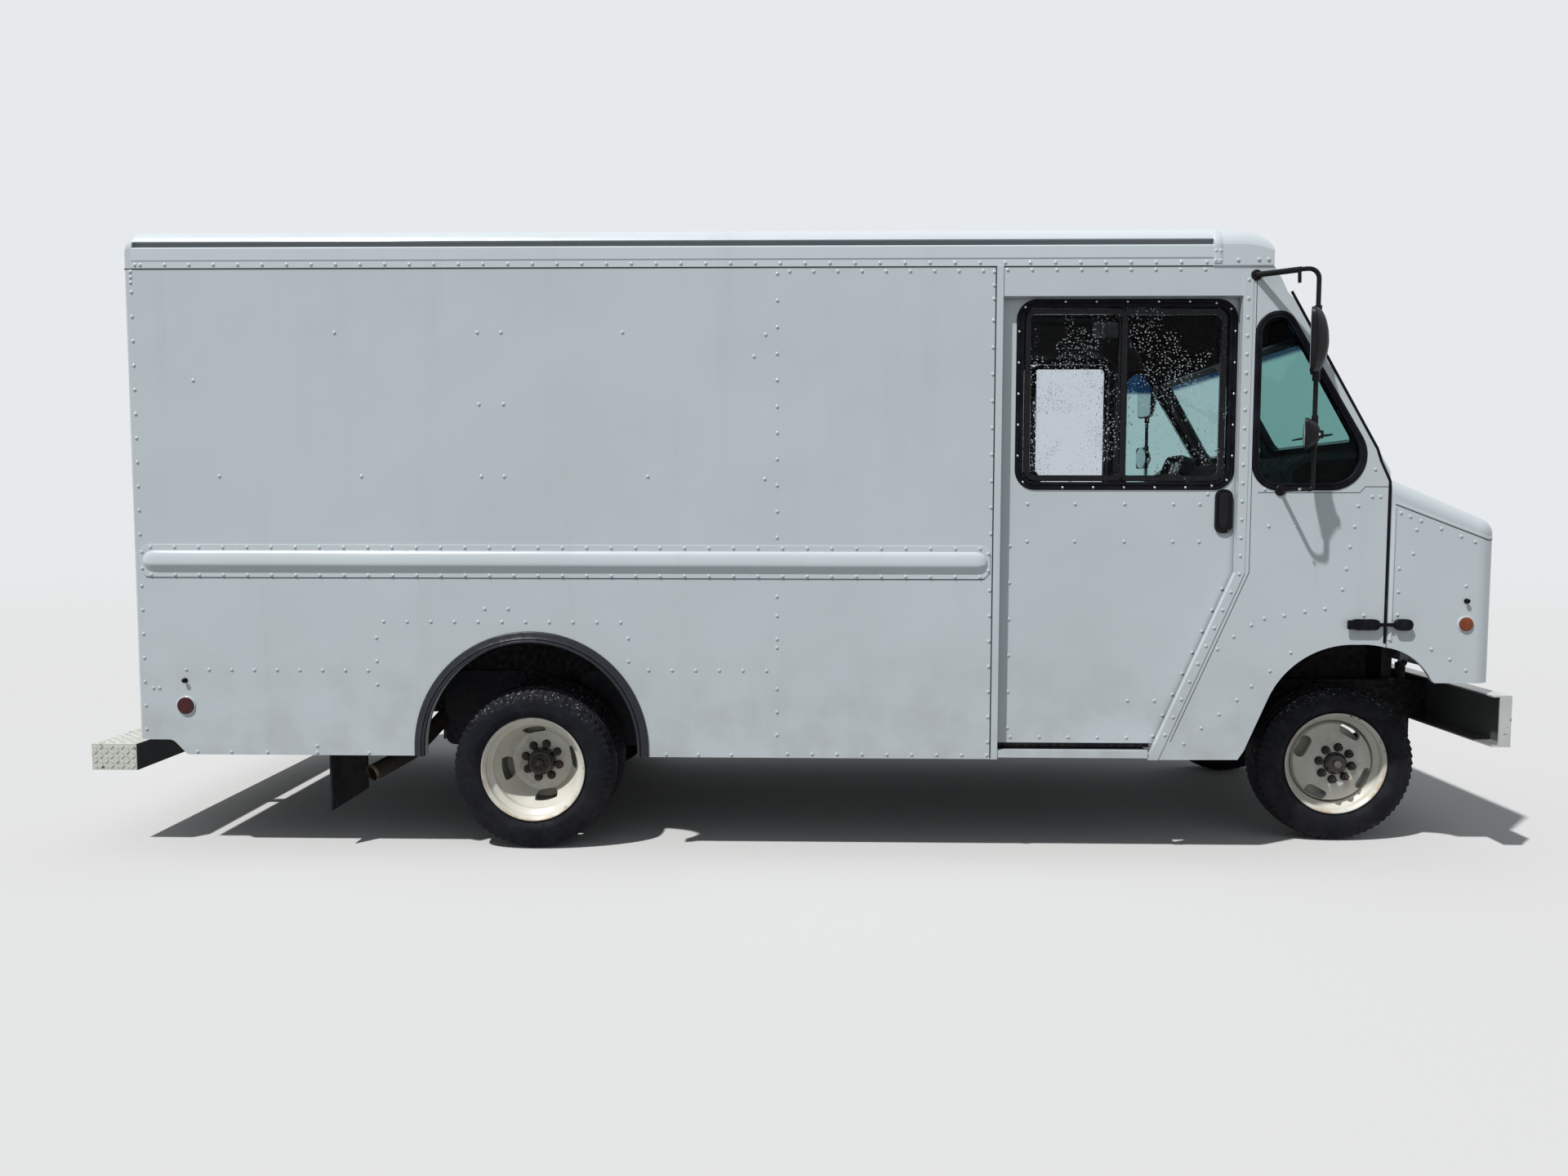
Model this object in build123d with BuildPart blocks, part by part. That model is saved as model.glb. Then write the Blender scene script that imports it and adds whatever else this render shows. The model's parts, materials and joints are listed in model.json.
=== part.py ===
from build123d import *
import os

os.makedirs("parts", exist_ok=True)

# A walk-in step van with an aluminium body, a tilting nose and twin rear wheels.
# Millimetres. +X is forward, +Y is the driver's side, +Z is up. The origin is on the
# ground, midway between the bumpers and midway between the sides.

# Stance
wheelbase = 4013
front_overhang = 682  # front axle to the face of the front bumper
rear_overhang = 2175  # rear axle to the back of the step bumper
rear_axle_x = (rear_overhang - front_overhang - wheelbase) / 2
front_axle_x = rear_axle_x + wheelbase
fit = 0.3  # gap round pins, shafts and rollers
clear = 6  # gap that moving panels keep

# Tyres and rims
tyre_radius = 398
tyre_width = 225
rim_radius = 260
bead_radius = 247.5
rim_half_width = 98
front_wheel_y = 785
twin_inner_y = 766
twin_gap = 42
twin_outer_y = twin_inner_y + tyre_width + twin_gap
spindle_radius = 28
axle_spindle_radius = 36
hand_hole_circle = 172
hand_hole_count = 4
hub_radius = 55
rear_hub_radius = 65
front_holes_turned = 28  # degrees
rear_holes_turned = 80

# Body shell
wheel_to_side = 44.5
body_half_width = twin_outer_y + tyre_width / 2 + wheel_to_side
wall = 40
inner_half_width = body_half_width - wall
skirt_z = 477
seam_z = 2811  # top of the side panels, where the roof's flange starts
roof_rise = 219
crown_z = seam_z + roof_rise
body_rear_x = rear_axle_x - 1907
post_x = front_axle_x - 1785  # rear face of the post behind the doorway
post_width = 31
doorway_rear_x = post_x + post_width
roof_front_x = front_axle_x - 781
cowl_x = front_axle_x + 77
rear_frame_x = body_rear_x + wall

# Wheel arches
arch_radius = 516
arch_shift = 10  # the rear arch's centre, forward of the axle
arch_z = 516
flare_width = 54
flare_depth = 26

# Floor and chassis
floor_top = 810
floor_thickness = 40
floor_z = floor_top - floor_thickness
frame_half_width = twin_inner_y - 336
frame_depth = 200
frame_width = 70
frame_plate = 8
frame_z = floor_z - 10 - frame_depth

# Doorway and sliding doors
door_skin = 30
door_inset = 54
door_outer_y = body_half_width - door_inset
door_inner_y = door_outer_y - door_skin
pocket_half_width = door_inner_y - 16  # floor edge beside the doors' pockets
header_z = seam_z - 142
sill_top = 520
sill_height = 35
door_bottom = 548
door_top = header_z + 51
door_overlap = 69  # how far the shut door reaches behind the rear post
door_front_lap = 44  # how far it reaches behind the front post
door_travel = 1000
knee_z = 1379  # where the doorway's front edge turns to slope
knee_x = front_axle_x - 639
foot_x = front_axle_x - 998
foot_z = 557
track_gap = 10

# Tilting nose
nose_gap = 6
nose_front_x = front_axle_x + 597
nose_bottom = 855
nose_wall = 25
nose_rear_top = 1829
nose_front_top = 1608
nose_corner = 100
nose_edge = 70
pivot_x = front_axle_x + 549
pivot_z = 852
pivot_radius = 8
lug_width = 20

# Bumpers
bumper_top = 796
bumper_bottom = 549
bumper_plate = 8
bumper_return = 56
step_top = 518
step_bottom = 388
step_depth = 225
step_half_width = body_half_width - 40

bumper_face_x = front_axle_x + front_overhang
step_back_x = rear_axle_x - rear_overhang
wheel_z = tyre_radius

side_inner = Plane.XZ.offset(inner_half_width)
side_outer = Plane.XZ.offset(body_half_width)


def write(piece, label):
    """Label a finished piece and write it to its own file."""
    piece.part.label = label
    export_step(piece.part, f"parts/{label}.step")


def rear(x, z):
    """A point of a side profile, measured from the rear axle."""
    return (rear_axle_x + x, z)


def front(x, z):
    """A point of a side profile, measured from the front axle."""
    return (front_axle_x + x, z)


def block(low, high, mode=Mode.ADD):
    """A box between two corners, added to the piece that is being built."""
    size = [b - a for a, b in zip(low, high)]
    centre = [(a + b) / 2 for a, b in zip(low, high)]
    with Locations(tuple(centre)):
        Box(*size, mode=mode)


def mirror_sides():
    """Repeat what has been built on the other side of the vehicle."""
    mirror(about=Plane.XZ)


# Ladder frame: two channels and their cross members
frame_rear_x = rear_frame_x
frame_front_x = bumper_face_x - bumper_plate
frame_top = frame_z + frame_depth
cross_height = 100
cross_width = 60
cross_places = [-1780, -900, 900, 1700, 2500]
with BuildPart() as frame:
    with BuildSketch(Plane.YZ.offset(frame_rear_x)):
        with BuildLine():
            web = frame_half_width - frame_plate
            lip = frame_half_width - frame_width
            Polyline(
                (frame_half_width, frame_z),
                (frame_half_width, frame_top),
                (lip, frame_top),
                (lip, frame_top - frame_plate),
                (web, frame_top - frame_plate),
                (web, frame_z + frame_plate),
                (lip, frame_z + frame_plate),
                (lip, frame_z),
                close=True,
            )
        make_face()
    extrude(amount=frame_front_x - frame_rear_x)
    mirror_sides()
    cross_top = frame_top - frame_plate - 12
    crosses = [rear_axle_x + x for x in cross_places] + [front_axle_x + 492]
    for x in crosses:
        block(
            (x - cross_width / 2, -web, cross_top - cross_height),
            (x + cross_width / 2, web, cross_top),
        )
    # Outriggers under the cargo floor's edges, clear of the wheels
    for x in [-1700, 900, 1700]:
        x = rear_axle_x + x
        for side in (-1, 1):
            ends = sorted((side * frame_half_width, side * pocket_half_width))
            block((x - 25, ends[0], floor_z - 60), (x + 25, ends[1], floor_z))
    # Hinge ears for the nose, with a pin through them
    for side in (-1, 1):
        mid = side * (frame_half_width - frame_width / 2 + 15)
        for ear in (-1, 1):
            y = mid + ear * (lug_width / 2 + clear + 4)
            block((pivot_x - 28, y - 4, frame_top - 8), (pivot_x + 6, y + 4, pivot_z))
            with Locations((pivot_x, y, pivot_z)):
                Cylinder(15, 8, rotation=(90, 0, 0))
        with Locations((pivot_x, mid, pivot_z)):
            Cylinder(pivot_radius, lug_width + 2 * clear + 14, rotation=(90, 0, 0))
write(frame, "frame")

# Front axle: a dropped beam with an eye for each kingpin
kingpin_y = 660
kingpin_radius = 18
eye_radius = 40
eye_height = 80
beam_depth = 70
beam_width = 60
spring_y = frame_half_width - 35
spring_width = 70
beam_z = wheel_z - 55
with BuildPart() as front_axle:
    block(
        (front_axle_x - beam_width / 2, -spring_y - 90, beam_z - beam_depth / 2),
        (front_axle_x + beam_width / 2, spring_y + 90, beam_z + beam_depth / 2),
    )
    for side in (-1, 1):
        with BuildSketch(Plane(origin=(front_axle_x - beam_width / 2, 0, 0), x_dir=(0, 1, 0), z_dir=(1, 0, 0))):
            with BuildLine():
                Polyline(
                    (side * (spring_y + 60), beam_z + beam_depth / 2),
                    (side * (spring_y + 60), beam_z - beam_depth / 2),
                    (side * (spring_y + 90), beam_z - beam_depth / 2),
                    (side * (kingpin_y - 50), wheel_z - eye_height / 2),
                    (side * kingpin_y, wheel_z - eye_height / 2),
                    (side * kingpin_y, wheel_z + eye_height / 2),
                    (side * (kingpin_y - 70), wheel_z + eye_height / 2),
                    close=True,
                )
            make_face()
        extrude(amount=beam_width)
        with Locations((front_axle_x, side * kingpin_y, wheel_z)):
            Cylinder(eye_radius, eye_height)
            Cylinder(kingpin_radius + fit, eye_height, mode=Mode.SUBTRACT)
write(front_axle, "front_axle")

# Steering knuckles: a yoke round the eye, the kingpin and the wheel's spindle
yoke_gap = 0.5
yoke_arm = 30
yoke_web_y = kingpin_y + eye_radius + 6
yoke_web = 20
spindle_end_y = front_wheel_y + 72
for side, name in ((-1, "right"), (1, "left")):
    with BuildPart() as knuckle:
        reach = sorted((side * (kingpin_y - 36), side * (yoke_web_y + yoke_web)))
        for z in (wheel_z + eye_height / 2 + yoke_gap, wheel_z - eye_height / 2 - yoke_gap - yoke_arm):
            block((front_axle_x - 34, reach[0], z), (front_axle_x + 34, reach[1], z + yoke_arm))
        web_side = sorted((side * yoke_web_y, side * (yoke_web_y + yoke_web)))
        half = eye_height / 2 + yoke_gap + yoke_arm
        block((front_axle_x - 48, web_side[0], wheel_z - half), (front_axle_x + 48, web_side[1], wheel_z + half))
        with Locations((front_axle_x, side * kingpin_y, wheel_z)):
            Cylinder(kingpin_radius, 2 * half)
        length = spindle_end_y - yoke_web_y - yoke_web / 2
        with Locations((front_axle_x, side * (spindle_end_y - length / 2), wheel_z)):
            Cylinder(spindle_radius, length, rotation=(90, 0, 0))
    write(knuckle, f"knuckle_{name}")

# Rear axle: housing, differential, spindles and the shaft from the gearbox
gearbox_x = rear_axle_x + 3000
gearbox_z = 600
housing_radius = 60
diff_radius = 165
with BuildPart() as rear_axle:
    housing = twin_inner_y - tyre_width / 2 - 12
    with Locations((rear_axle_x, 0, wheel_z)):
        Cylinder(housing_radius, 2 * housing, rotation=(90, 0, 0))
        Cylinder(axle_spindle_radius, 2 * (twin_inner_y + 120), rotation=(90, 0, 0))
        Sphere(diff_radius)
    shaft = Edge.make_line((rear_axle_x + 120, 0, wheel_z + 15), (gearbox_x - 3, 0, gearbox_z))
    with BuildSketch(Plane(origin=shaft @ 0, z_dir=shaft % 0)):
        Circle(45)
    extrude(amount=shaft.length)
write(rear_axle, "rear_axle")

# Leaf springs: one curved pack a wheel position, with its hangers on the rail
rear_spring_half = 620
front_spring_half = 555
spring_thickness = 34
with BuildPart() as leaf_springs:
    for axle_x, seat_z, spring_half in (
        (rear_axle_x, wheel_z + housing_radius, rear_spring_half),
        (front_axle_x, beam_z + beam_depth / 2, front_spring_half),
    ):
        eye_z = frame_z - 50
        with BuildSketch(Plane.XZ.offset(-spring_y - spring_width / 2)):
            with BuildLine():
                low = ThreePointArc((axle_x - spring_half, eye_z), (axle_x, seat_z), (axle_x + spring_half, eye_z))
                high = ThreePointArc(
                    (axle_x - spring_half, eye_z + spring_thickness),
                    (axle_x, seat_z + spring_thickness),
                    (axle_x + spring_half, eye_z + spring_thickness),
                )
                Line(low @ 0, high @ 0)
                Line(low @ 1, high @ 1)
            make_face()
            with Locations((axle_x - spring_half, eye_z), (axle_x + spring_half, eye_z)):
                Rectangle(60, 100)
        extrude(amount=spring_width)
    mirror_sides()
write(leaf_springs, "leaf_springs")

# Wheels: rims turned from one section, tyres from another
rim_section = [  # radius, distance outward from the wheel's centre plane
    (rim_radius, -rim_half_width),
    (rim_radius + 2, -rim_half_width + 7),
    (bead_radius - 0.5, -rim_half_width + 15),
    (bead_radius - 2.5, -rim_half_width + 48),
    (222, -rim_half_width + 73),
    (222, rim_half_width - 61),
    (bead_radius - 2.5, rim_half_width - 45),
    (bead_radius - 0.5, rim_half_width - 15),
    (rim_radius + 2, rim_half_width - 7),
    (rim_radius, rim_half_width),
    (rim_radius - 8, rim_half_width),
    (bead_radius - 9, rim_half_width - 13),
    (bead_radius - 12, rim_half_width - 41),
    (212, rim_half_width - 61),
    (212, -rim_half_width + 73),
    (bead_radius - 12, -rim_half_width + 46),
    (bead_radius - 9, -rim_half_width + 13),
    (rim_radius - 8, -rim_half_width),
]
half_tyre = tyre_width / 2
tyre_section = [
    (bead_radius, -rim_half_width + 15.5),
    (rim_radius + 3.5, -rim_half_width + 13),
    (rim_radius + 8, -rim_half_width - 1),
    (tyre_radius - 118, -half_tyre + 3),
    (tyre_radius - 76, -half_tyre),
    (tyre_radius - 28, -half_tyre + 9),
    (tyre_radius - 8, -half_tyre + 24),
    (tyre_radius, -half_tyre + 42),
]
tyre_section += [(radius, -across) for radius, across in reversed(tyre_section)]


def turned(section, centre, side):
    """Turn a section, given as radius and distance outward, about a wheel's axle."""
    x, y = centre
    with BuildSketch(Plane(origin=(x, 0, wheel_z), x_dir=(1, 0, 0), z_dir=(0, 0, 1))) as profile:
        with BuildLine():
            Polyline(*[(radius, side * (y + across)) for radius, across in section], close=True)
        make_face()
    revolve(profile.sketch, axis=Axis((x, 0, wheel_z), (0, 1, 0)))


def hand_holes(x, side, y, depth, turned_by):
    """Cut the long holes that ring a wheel's disc."""
    start = Plane(origin=(x, side * y, wheel_z), x_dir=(1, 0, 0), z_dir=(0, -side, 0))
    with BuildSketch(start) as holes:
        with PolarLocations(hand_hole_circle, hand_hole_count, start_angle=turned_by):
            SlotCenterToCenter(68, 48, rotation=90)
    extrude(holes.sketch, amount=depth, mode=Mode.SUBTRACT)


front_disc = [(213, -6), (196, 52), (150, 74), (118, 86), (40, 86), (40, 72), (114, 72), (144, 61), (184, 41), (213, -30)]
front_hub = [
    (spindle_radius + fit, -50),
    (75, -50),
    (75, 80),
    (hub_radius, 80),
    (hub_radius, 100),
    (hub_radius - 12, 112),
    (0, 112),
    (0, 76),
    (spindle_radius + fit, 76),
]
rotor = [(70, -34), (186, -34), (186, -10), (70, -10)]
for side, name in ((-1, "right"), (1, "left")):
    with BuildPart() as front_rim:
        turned(front_disc, (front_axle_x, front_wheel_y), side)
        hand_holes(front_axle_x, side, front_wheel_y + 130, 170, front_holes_turned)
        turned(rim_section, (front_axle_x, front_wheel_y), side)
        turned(front_hub, (front_axle_x, front_wheel_y), side)
        turned(rotor, (front_axle_x, front_wheel_y), side)
    write(front_rim, f"front_rim_{name}")
    with BuildPart() as front_tyre:
        turned(tyre_section, (front_axle_x, front_wheel_y), side)
    write(front_tyre, f"front_tyre_{name}")

twin_mid_y = (twin_inner_y + twin_outer_y) / 2
outer_disc = [(213, 136), (150, 14), (60, 12), (60, 0), (157, 0), (213, 112)]
inner_disc = [(radius, -across) for radius, across in outer_disc]
rear_hub = [
    (axle_spindle_radius + fit, -200),
    (84, -200),
    (84, 6),
    (rear_hub_radius, 6),
    (rear_hub_radius, 62),
    (rear_hub_radius - 12, 76),
    (0, 76),
    (0, 4),
    (axle_spindle_radius + fit, 4),
]
drum = [(80, -190), (196, -190), (196, -40), (80, -40)]
for side, name in ((-1, "right"), (1, "left")):
    with BuildPart() as rear_rims:
        turned(outer_disc, (rear_axle_x, twin_mid_y), side)
        turned(inner_disc, (rear_axle_x, twin_mid_y), side)
        hand_holes(rear_axle_x, side, twin_mid_y + 90, 180, rear_holes_turned)
        for y in (twin_inner_y, twin_outer_y):
            turned(rim_section, (rear_axle_x, y), side)
        turned(rear_hub, (rear_axle_x, twin_mid_y), side)
        turned(drum, (rear_axle_x, twin_mid_y), side)
    write(rear_rims, f"rear_rims_{name}")
    with BuildPart() as rear_tyres:
        for y in (twin_inner_y, twin_outer_y):
            turned(tyre_section, (rear_axle_x, y), side)
    write(rear_tyres, f"rear_tyres_{name}")

# Engine: one plain block on its mounts, with the gearbox behind it
engine_rear_x = front_axle_x - 453
engine_front_x = front_axle_x + 407
engine_half_width = frame_half_width - 130
engine_top = 1180
with BuildPart() as engine:
    block((engine_rear_x, -engine_half_width, 600), (engine_front_x, engine_half_width, engine_top))
    with Locations(((gearbox_x + engine_rear_x) / 2, 0, gearbox_z)):
        Cylinder(140, engine_rear_x - gearbox_x, rotation=(0, 90, 0))
    for side in (-1, 1):
        reach = sorted((side * engine_half_width, side * (frame_half_width - frame_plate)))
        x = front_axle_x - 100
        block((x, reach[0], frame_z + frame_plate), (x + 100, reach[1], frame_z + 90))
write(engine, "engine")

radiator_x = front_axle_x + 492
with BuildPart() as radiator:
    block((radiator_x - 28, -lip + 5, cross_top), (radiator_x + 28, lip - 5, 1340))
write(radiator, "radiator")

# Fuel tank on the driver's side, strapped to the rail
tank_length = 1100
tank_x = doorway_rear_x - 9 - tank_length
with BuildPart() as fuel_tank:
    with BuildSketch(Plane.YZ.offset(tank_x)):
        with Locations((frame_half_width + 30 + 210, 575)):
            RectangleRounded(420, 250, 60)
    extrude(amount=tank_length)
    for x in (tank_x + 220, tank_x + tank_length - 280):
        block((x, frame_half_width, 500), (x + 60, frame_half_width + 60, 690))
write(fuel_tank, "fuel_tank")

# Exhaust: silencer beside the rail, and a pipe over the axle to the outlet
pipe_radius = 42
pipe_wall = 4
outlet_depth = 90
silencer_x = rear_axle_x + 1150
silencer_length = 900
with BuildPart() as exhaust:
    pipe_y = -(frame_half_width + 112)
    pipe_z = 610
    with Locations((silencer_x + silencer_length / 2, -(frame_half_width + 140), pipe_z - 20)):
        Cylinder(110, silencer_length, rotation=(0, 90, 0))
    with BuildLine():
        route = FilletPolyline(
            (silencer_x + 20, pipe_y, pipe_z),
            (rear_axle_x - 560, pipe_y, pipe_z),
            (rear_axle_x - 700, -820, 420),
            (rear_axle_x - 842, -1010, 345),
            radius=(120, 150),
        )
    with BuildSketch(Plane(origin=route @ 0, z_dir=route % 0)):
        Circle(pipe_radius)
    sweep()
    with BuildSketch(Plane(origin=route @ 1, z_dir=route % 1)) as outlet:
        Circle(pipe_radius - pipe_wall)
    extrude(outlet.sketch, amount=-outlet_depth, mode=Mode.SUBTRACT)
    for x in (silencer_x + 150, silencer_x + 700):
        block((x, -frame_half_width - 60, 640), (x + 40, -frame_half_width, 720))
write(exhaust, "exhaust")

# Mudflaps hang from the floor behind the twin wheels
flap_x = rear_axle_x - 1000
with BuildPart() as mudflaps:
    block((flap_x, twin_inner_y - 106, 189), (flap_x + 10, body_half_width - 50, floor_z))
    mirror_sides()
write(mudflaps, "mudflaps")

# Floor: cargo deck, cab deck, wheel boxes and engine cover in bent sheet
sheet = 30
box_rear_x = rear_axle_x - 550
box_front_x = rear_axle_x + 570
box_inner_y = twin_inner_y - tyre_width / 2 - 28.5
box_top = 1080
deck_front_x = front_axle_x - 533
pocket_rear_x = doorway_rear_x - 1095
pocket_front_x = front_axle_x - 570
step_well_front_x = foot_x
step_well_y = 850
cover_half_width = 400
cover_rear_x = front_axle_x - 500
cover_top = 1250
front_box_top = 1090
firewall_back_x = cowl_x - wall
with BuildPart() as floor:
    block((rear_frame_x, -inner_half_width, floor_z), (pocket_rear_x, inner_half_width, floor_top))
    block((pocket_rear_x, -pocket_half_width, floor_z), (pocket_front_x, pocket_half_width, floor_top))
    block((pocket_front_x, -inner_half_width, floor_z), (deck_front_x + sheet, inner_half_width, floor_top))
    for side in (-1, 1):
        well = sorted((side * step_well_y, side * (inner_half_width + 1)))
        block(
            (doorway_rear_x - 1, well[0], floor_z), (step_well_front_x, well[1], floor_top), mode=Mode.SUBTRACT
        )
        outer = sorted((side * (box_inner_y - sheet), side * inner_half_width))
        inner = sorted((side * box_inner_y, side * inner_half_width))
        block((box_rear_x - sheet, outer[0], floor_z), (box_front_x + sheet, outer[1], box_top))
        block((box_rear_x, inner[0], floor_z), (box_front_x, inner[1], box_top - sheet), mode=Mode.SUBTRACT)
        outer = sorted((side * cover_half_width, side * inner_half_width))
        block((deck_front_x, outer[0], floor_top), (deck_front_x + sheet, outer[1], front_box_top))
        block((deck_front_x, outer[0], front_box_top - sheet), (firewall_back_x, outer[1], front_box_top))
        splash = sorted((side * frame_half_width, side * inner_half_width))
        with BuildSketch(Plane.XZ.offset(-splash[1])):
            with BuildLine():
                Polyline(
                    front(-533, floor_z),
                    front(-653, skirt_z + 5),
                    front(-633, skirt_z + 5),
                    front(-503, floor_z),
                    close=True,
                )
            make_face()
        extrude(amount=splash[1] - splash[0])
    block((cover_rear_x, -cover_half_width, floor_z), (firewall_back_x, cover_half_width, cover_top))
    block(
        (cover_rear_x + sheet, -cover_half_width + sheet, floor_z),
        (firewall_back_x, cover_half_width - sheet, cover_top - sheet),
        mode=Mode.SUBTRACT,
    )
write(floor, "floor")

# Cargo walls with their wheel arches and the posts behind the doorways
notch_z = 550
post_proud = 6
with BuildPart() as cargo_walls:
    with BuildSketch(side_inner):
        with BuildLine():
            FilletPolyline(
                (rear_frame_x, notch_z),
                rear(-1746, notch_z),
                rear(-1676, skirt_z),
                (doorway_rear_x, skirt_z),
                (doorway_rear_x, seam_z),
                (rear_frame_x, seam_z),
                radius=(0, 50, 20, 0, 0, 0),
                close=True,
            )
        make_face()
        with Locations(rear(arch_shift, arch_z)):
            Circle(arch_radius, mode=Mode.SUBTRACT)
        with Locations(rear(arch_shift, arch_z - 50)):
            Rectangle(2 * arch_radius, 100, mode=Mode.SUBTRACT)
    extrude(amount=wall)
    block(
        (post_x, -body_half_width - post_proud, skirt_z), (doorway_rear_x, -body_half_width, seam_z)
    )
    mirror_sides()
write(cargo_walls, "cargo_walls")

# Rub rails: a riveted flange with a rounded bead along it
rail_rear_x = rear_axle_x - 1875
rail_length = 4088
rail_z = 1425
rail_height = 184
bead_height = 124
bead_depth = 40
with BuildPart() as rub_rails:
    rail_mid = (rail_rear_x + rail_length / 2, rail_z)
    with BuildSketch(side_outer):
        with Locations(rail_mid):
            RectangleRounded(rail_length, rail_height, 60)
    extrude(amount=4)
    with BuildSketch(side_outer.offset(4)):
        with Locations(rail_mid):
            SlotOverall(rail_length - 24, bead_height)
    extrude(amount=bead_depth)
    fillet(rub_rails.faces().sort_by(Axis.Y)[0].edges(), bead_depth - 4)
    mirror_sides()
write(rub_rails, "rub_rails")

# Rubber flares round the rear arches
with BuildPart() as wheel_flares:
    with BuildSketch(side_outer):
        with Locations(rear(arch_shift, arch_z)):
            Circle(arch_radius + flare_width)
            Circle(arch_radius, mode=Mode.SUBTRACT)
            with Locations((0, -arch_radius)):
                Rectangle(3 * arch_radius, 2 * arch_radius, mode=Mode.SUBTRACT)
        leg = arch_z - skirt_z
        for edge in (-1, 1):
            with Locations(rear(arch_shift + edge * (arch_radius + flare_width / 2), arch_z - leg / 2)):
                Rectangle(flare_width, leg)
    extrude(amount=flare_depth)
    mirror_sides()
write(wheel_flares, "wheel_flares")

# Roof: one section, half of it drawn and mirrored
crown_drop = 9.5  # halfway to the shoulder
shoulder_y = body_half_width - 90
shoulder_z = crown_z - 38
eave_y = body_half_width - 4
eave_z = seam_z + 125
flange_proud = 4
flange_top = seam_z + 33
rail_top = eave_z - 28
rail_proud = 22
rail_groove = 14
roof_inner_edge = (body_half_width - 110, crown_z - 82)


def between(start, end, across, up):
    """The point that lies a share of the way across and up from one point to another."""
    return (start[0] + across * (end[0] - start[0]), start[1] + up * (end[1] - start[1]))


shoulder = (shoulder_y, shoulder_z)
eave = (eave_y, eave_z)
rail_crest = (body_half_width + rail_proud, (rail_top + flange_top) / 2)
with BuildPart() as roof:
    with BuildSketch(Plane.YZ.offset(rear_frame_x)):
        with BuildLine():
            ThreePointArc((0, crown_z), (shoulder_y / 2, crown_z - crown_drop), shoulder)
            ThreePointArc(shoulder, between(shoulder, eave, 0.65, 0.32), eave)
            Polyline(
                eave,
                (eave_y - rail_groove, eave_z - 2),
                (eave_y - rail_groove, rail_top + 2),
                (body_half_width, rail_top),
            )
            ThreePointArc((body_half_width, rail_top), rail_crest, (body_half_width + flange_proud, flange_top))
            Polyline(
                (body_half_width + flange_proud, flange_top),
                (body_half_width + flange_proud, seam_z),
                (inner_half_width, seam_z),
                (inner_half_width, seam_z + 69),
                roof_inner_edge,
                (0, crown_z - wall),
                (0, crown_z),
            )
        make_face()
    extrude(amount=roof_front_x - rear_frame_x)
    mirror_sides()
write(roof, "roof")

# Roof's front cap, moulded hollow, with a rounded brow
cap_front_x = front_axle_x - 501
cap_bottom = seam_z
cap_proud = 6
with BuildPart() as roof_cap:
    for inset, mode in ((0, Mode.ADD), (wall, Mode.SUBTRACT)):
        with BuildPart(mode=Mode.PRIVATE) as shell:
            with BuildSketch(Plane.YZ.offset(roof_front_x)):
                cap_shoulder = (shoulder_y - inset / 2, shoulder_z - inset)
                cap_eave = (body_half_width + cap_proud - inset, rail_top)
                with BuildLine():
                    ThreePointArc(
                        (0, crown_z - inset), (shoulder_y / 2, crown_z - crown_drop - inset), cap_shoulder
                    )
                    ThreePointArc(cap_shoulder, between(cap_shoulder, cap_eave, 0.625, 0.26), cap_eave)
                    Polyline(
                        cap_eave,
                        (body_half_width + cap_proud - inset, cap_bottom),
                        (0, cap_bottom),
                        (0, crown_z - inset),
                    )
                make_face()
            extrude(amount=400)
            mirror_sides()
            with BuildSketch(Plane.XZ.offset(-body_half_width - 110)):
                with BuildLine():
                    FilletPolyline(
                        (roof_front_x, cap_bottom),
                        (cap_front_x - inset, cap_bottom),
                        (cap_front_x - inset, crown_z - 75 - inset),
                        (cap_front_x - 130 - inset, crown_z - inset),
                        (roof_front_x, crown_z + 2 - inset),
                        radius=(0, 0, 70, 130, 0),
                        close=True,
                    )
                make_face()
            extrude(amount=2 * (body_half_width + 110), mode=Mode.INTERSECT)
        add(shell.part, mode=mode)
write(roof_cap, "roof_cap")

# Rear frame round the roll-up door
rear_opening_half = body_half_width - 190
rear_opening_top = seam_z - 111
rear_sill_z = floor_top
rear_corner = 14
with BuildPart() as rear_frame:
    with BuildSketch(Plane.YZ.offset(body_rear_x)):
        with BuildLine():
            frame_eave = (body_half_width, rail_top + 2)
            ThreePointArc((0, crown_z), (shoulder_y / 2, crown_z - crown_drop), shoulder)
            ThreePointArc(shoulder, between(shoulder, frame_eave, 0.62, 0.22), frame_eave)
            Polyline(
                frame_eave,
                (body_half_width, notch_z),
                (0, notch_z),
                (0, rear_sill_z),
                (rear_opening_half, rear_sill_z),
                (rear_opening_half, rear_opening_top),
                (0, rear_opening_top),
                (0, crown_z),
            )
        make_face()
    extrude(amount=wall)
    fillet(rear_frame.edges().filter_by(Axis.Z).group_by(Axis.Y)[-1].sort_by(Axis.X)[0], rear_corner)
    mirror_sides()
write(rear_frame, "rear_frame")

# Roll-up door: slats on a backing sheet, shut in its frame
slat_count = 13
slat_gap = 8
slat_height = (rear_opening_top - rear_sill_z) / slat_count
with BuildPart() as rollup_door:
    block(
        (body_rear_x + 24, -rear_opening_half, rear_sill_z), (body_rear_x + 34, rear_opening_half, rear_opening_top)
    )
    for slat in range(slat_count):
        low = rear_sill_z + slat * slat_height
        block(
            (body_rear_x + 12, -rear_opening_half + 4, low + slat_gap / 2),
            (body_rear_x + 24, rear_opening_half - 4, low + slat_height - slat_gap / 2),
        )
    block((body_rear_x - 14, -70, rear_sill_z + 40), (body_rear_x + 12, 70, rear_sill_z + 110))
write(rollup_door, "rollup_door")

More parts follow.
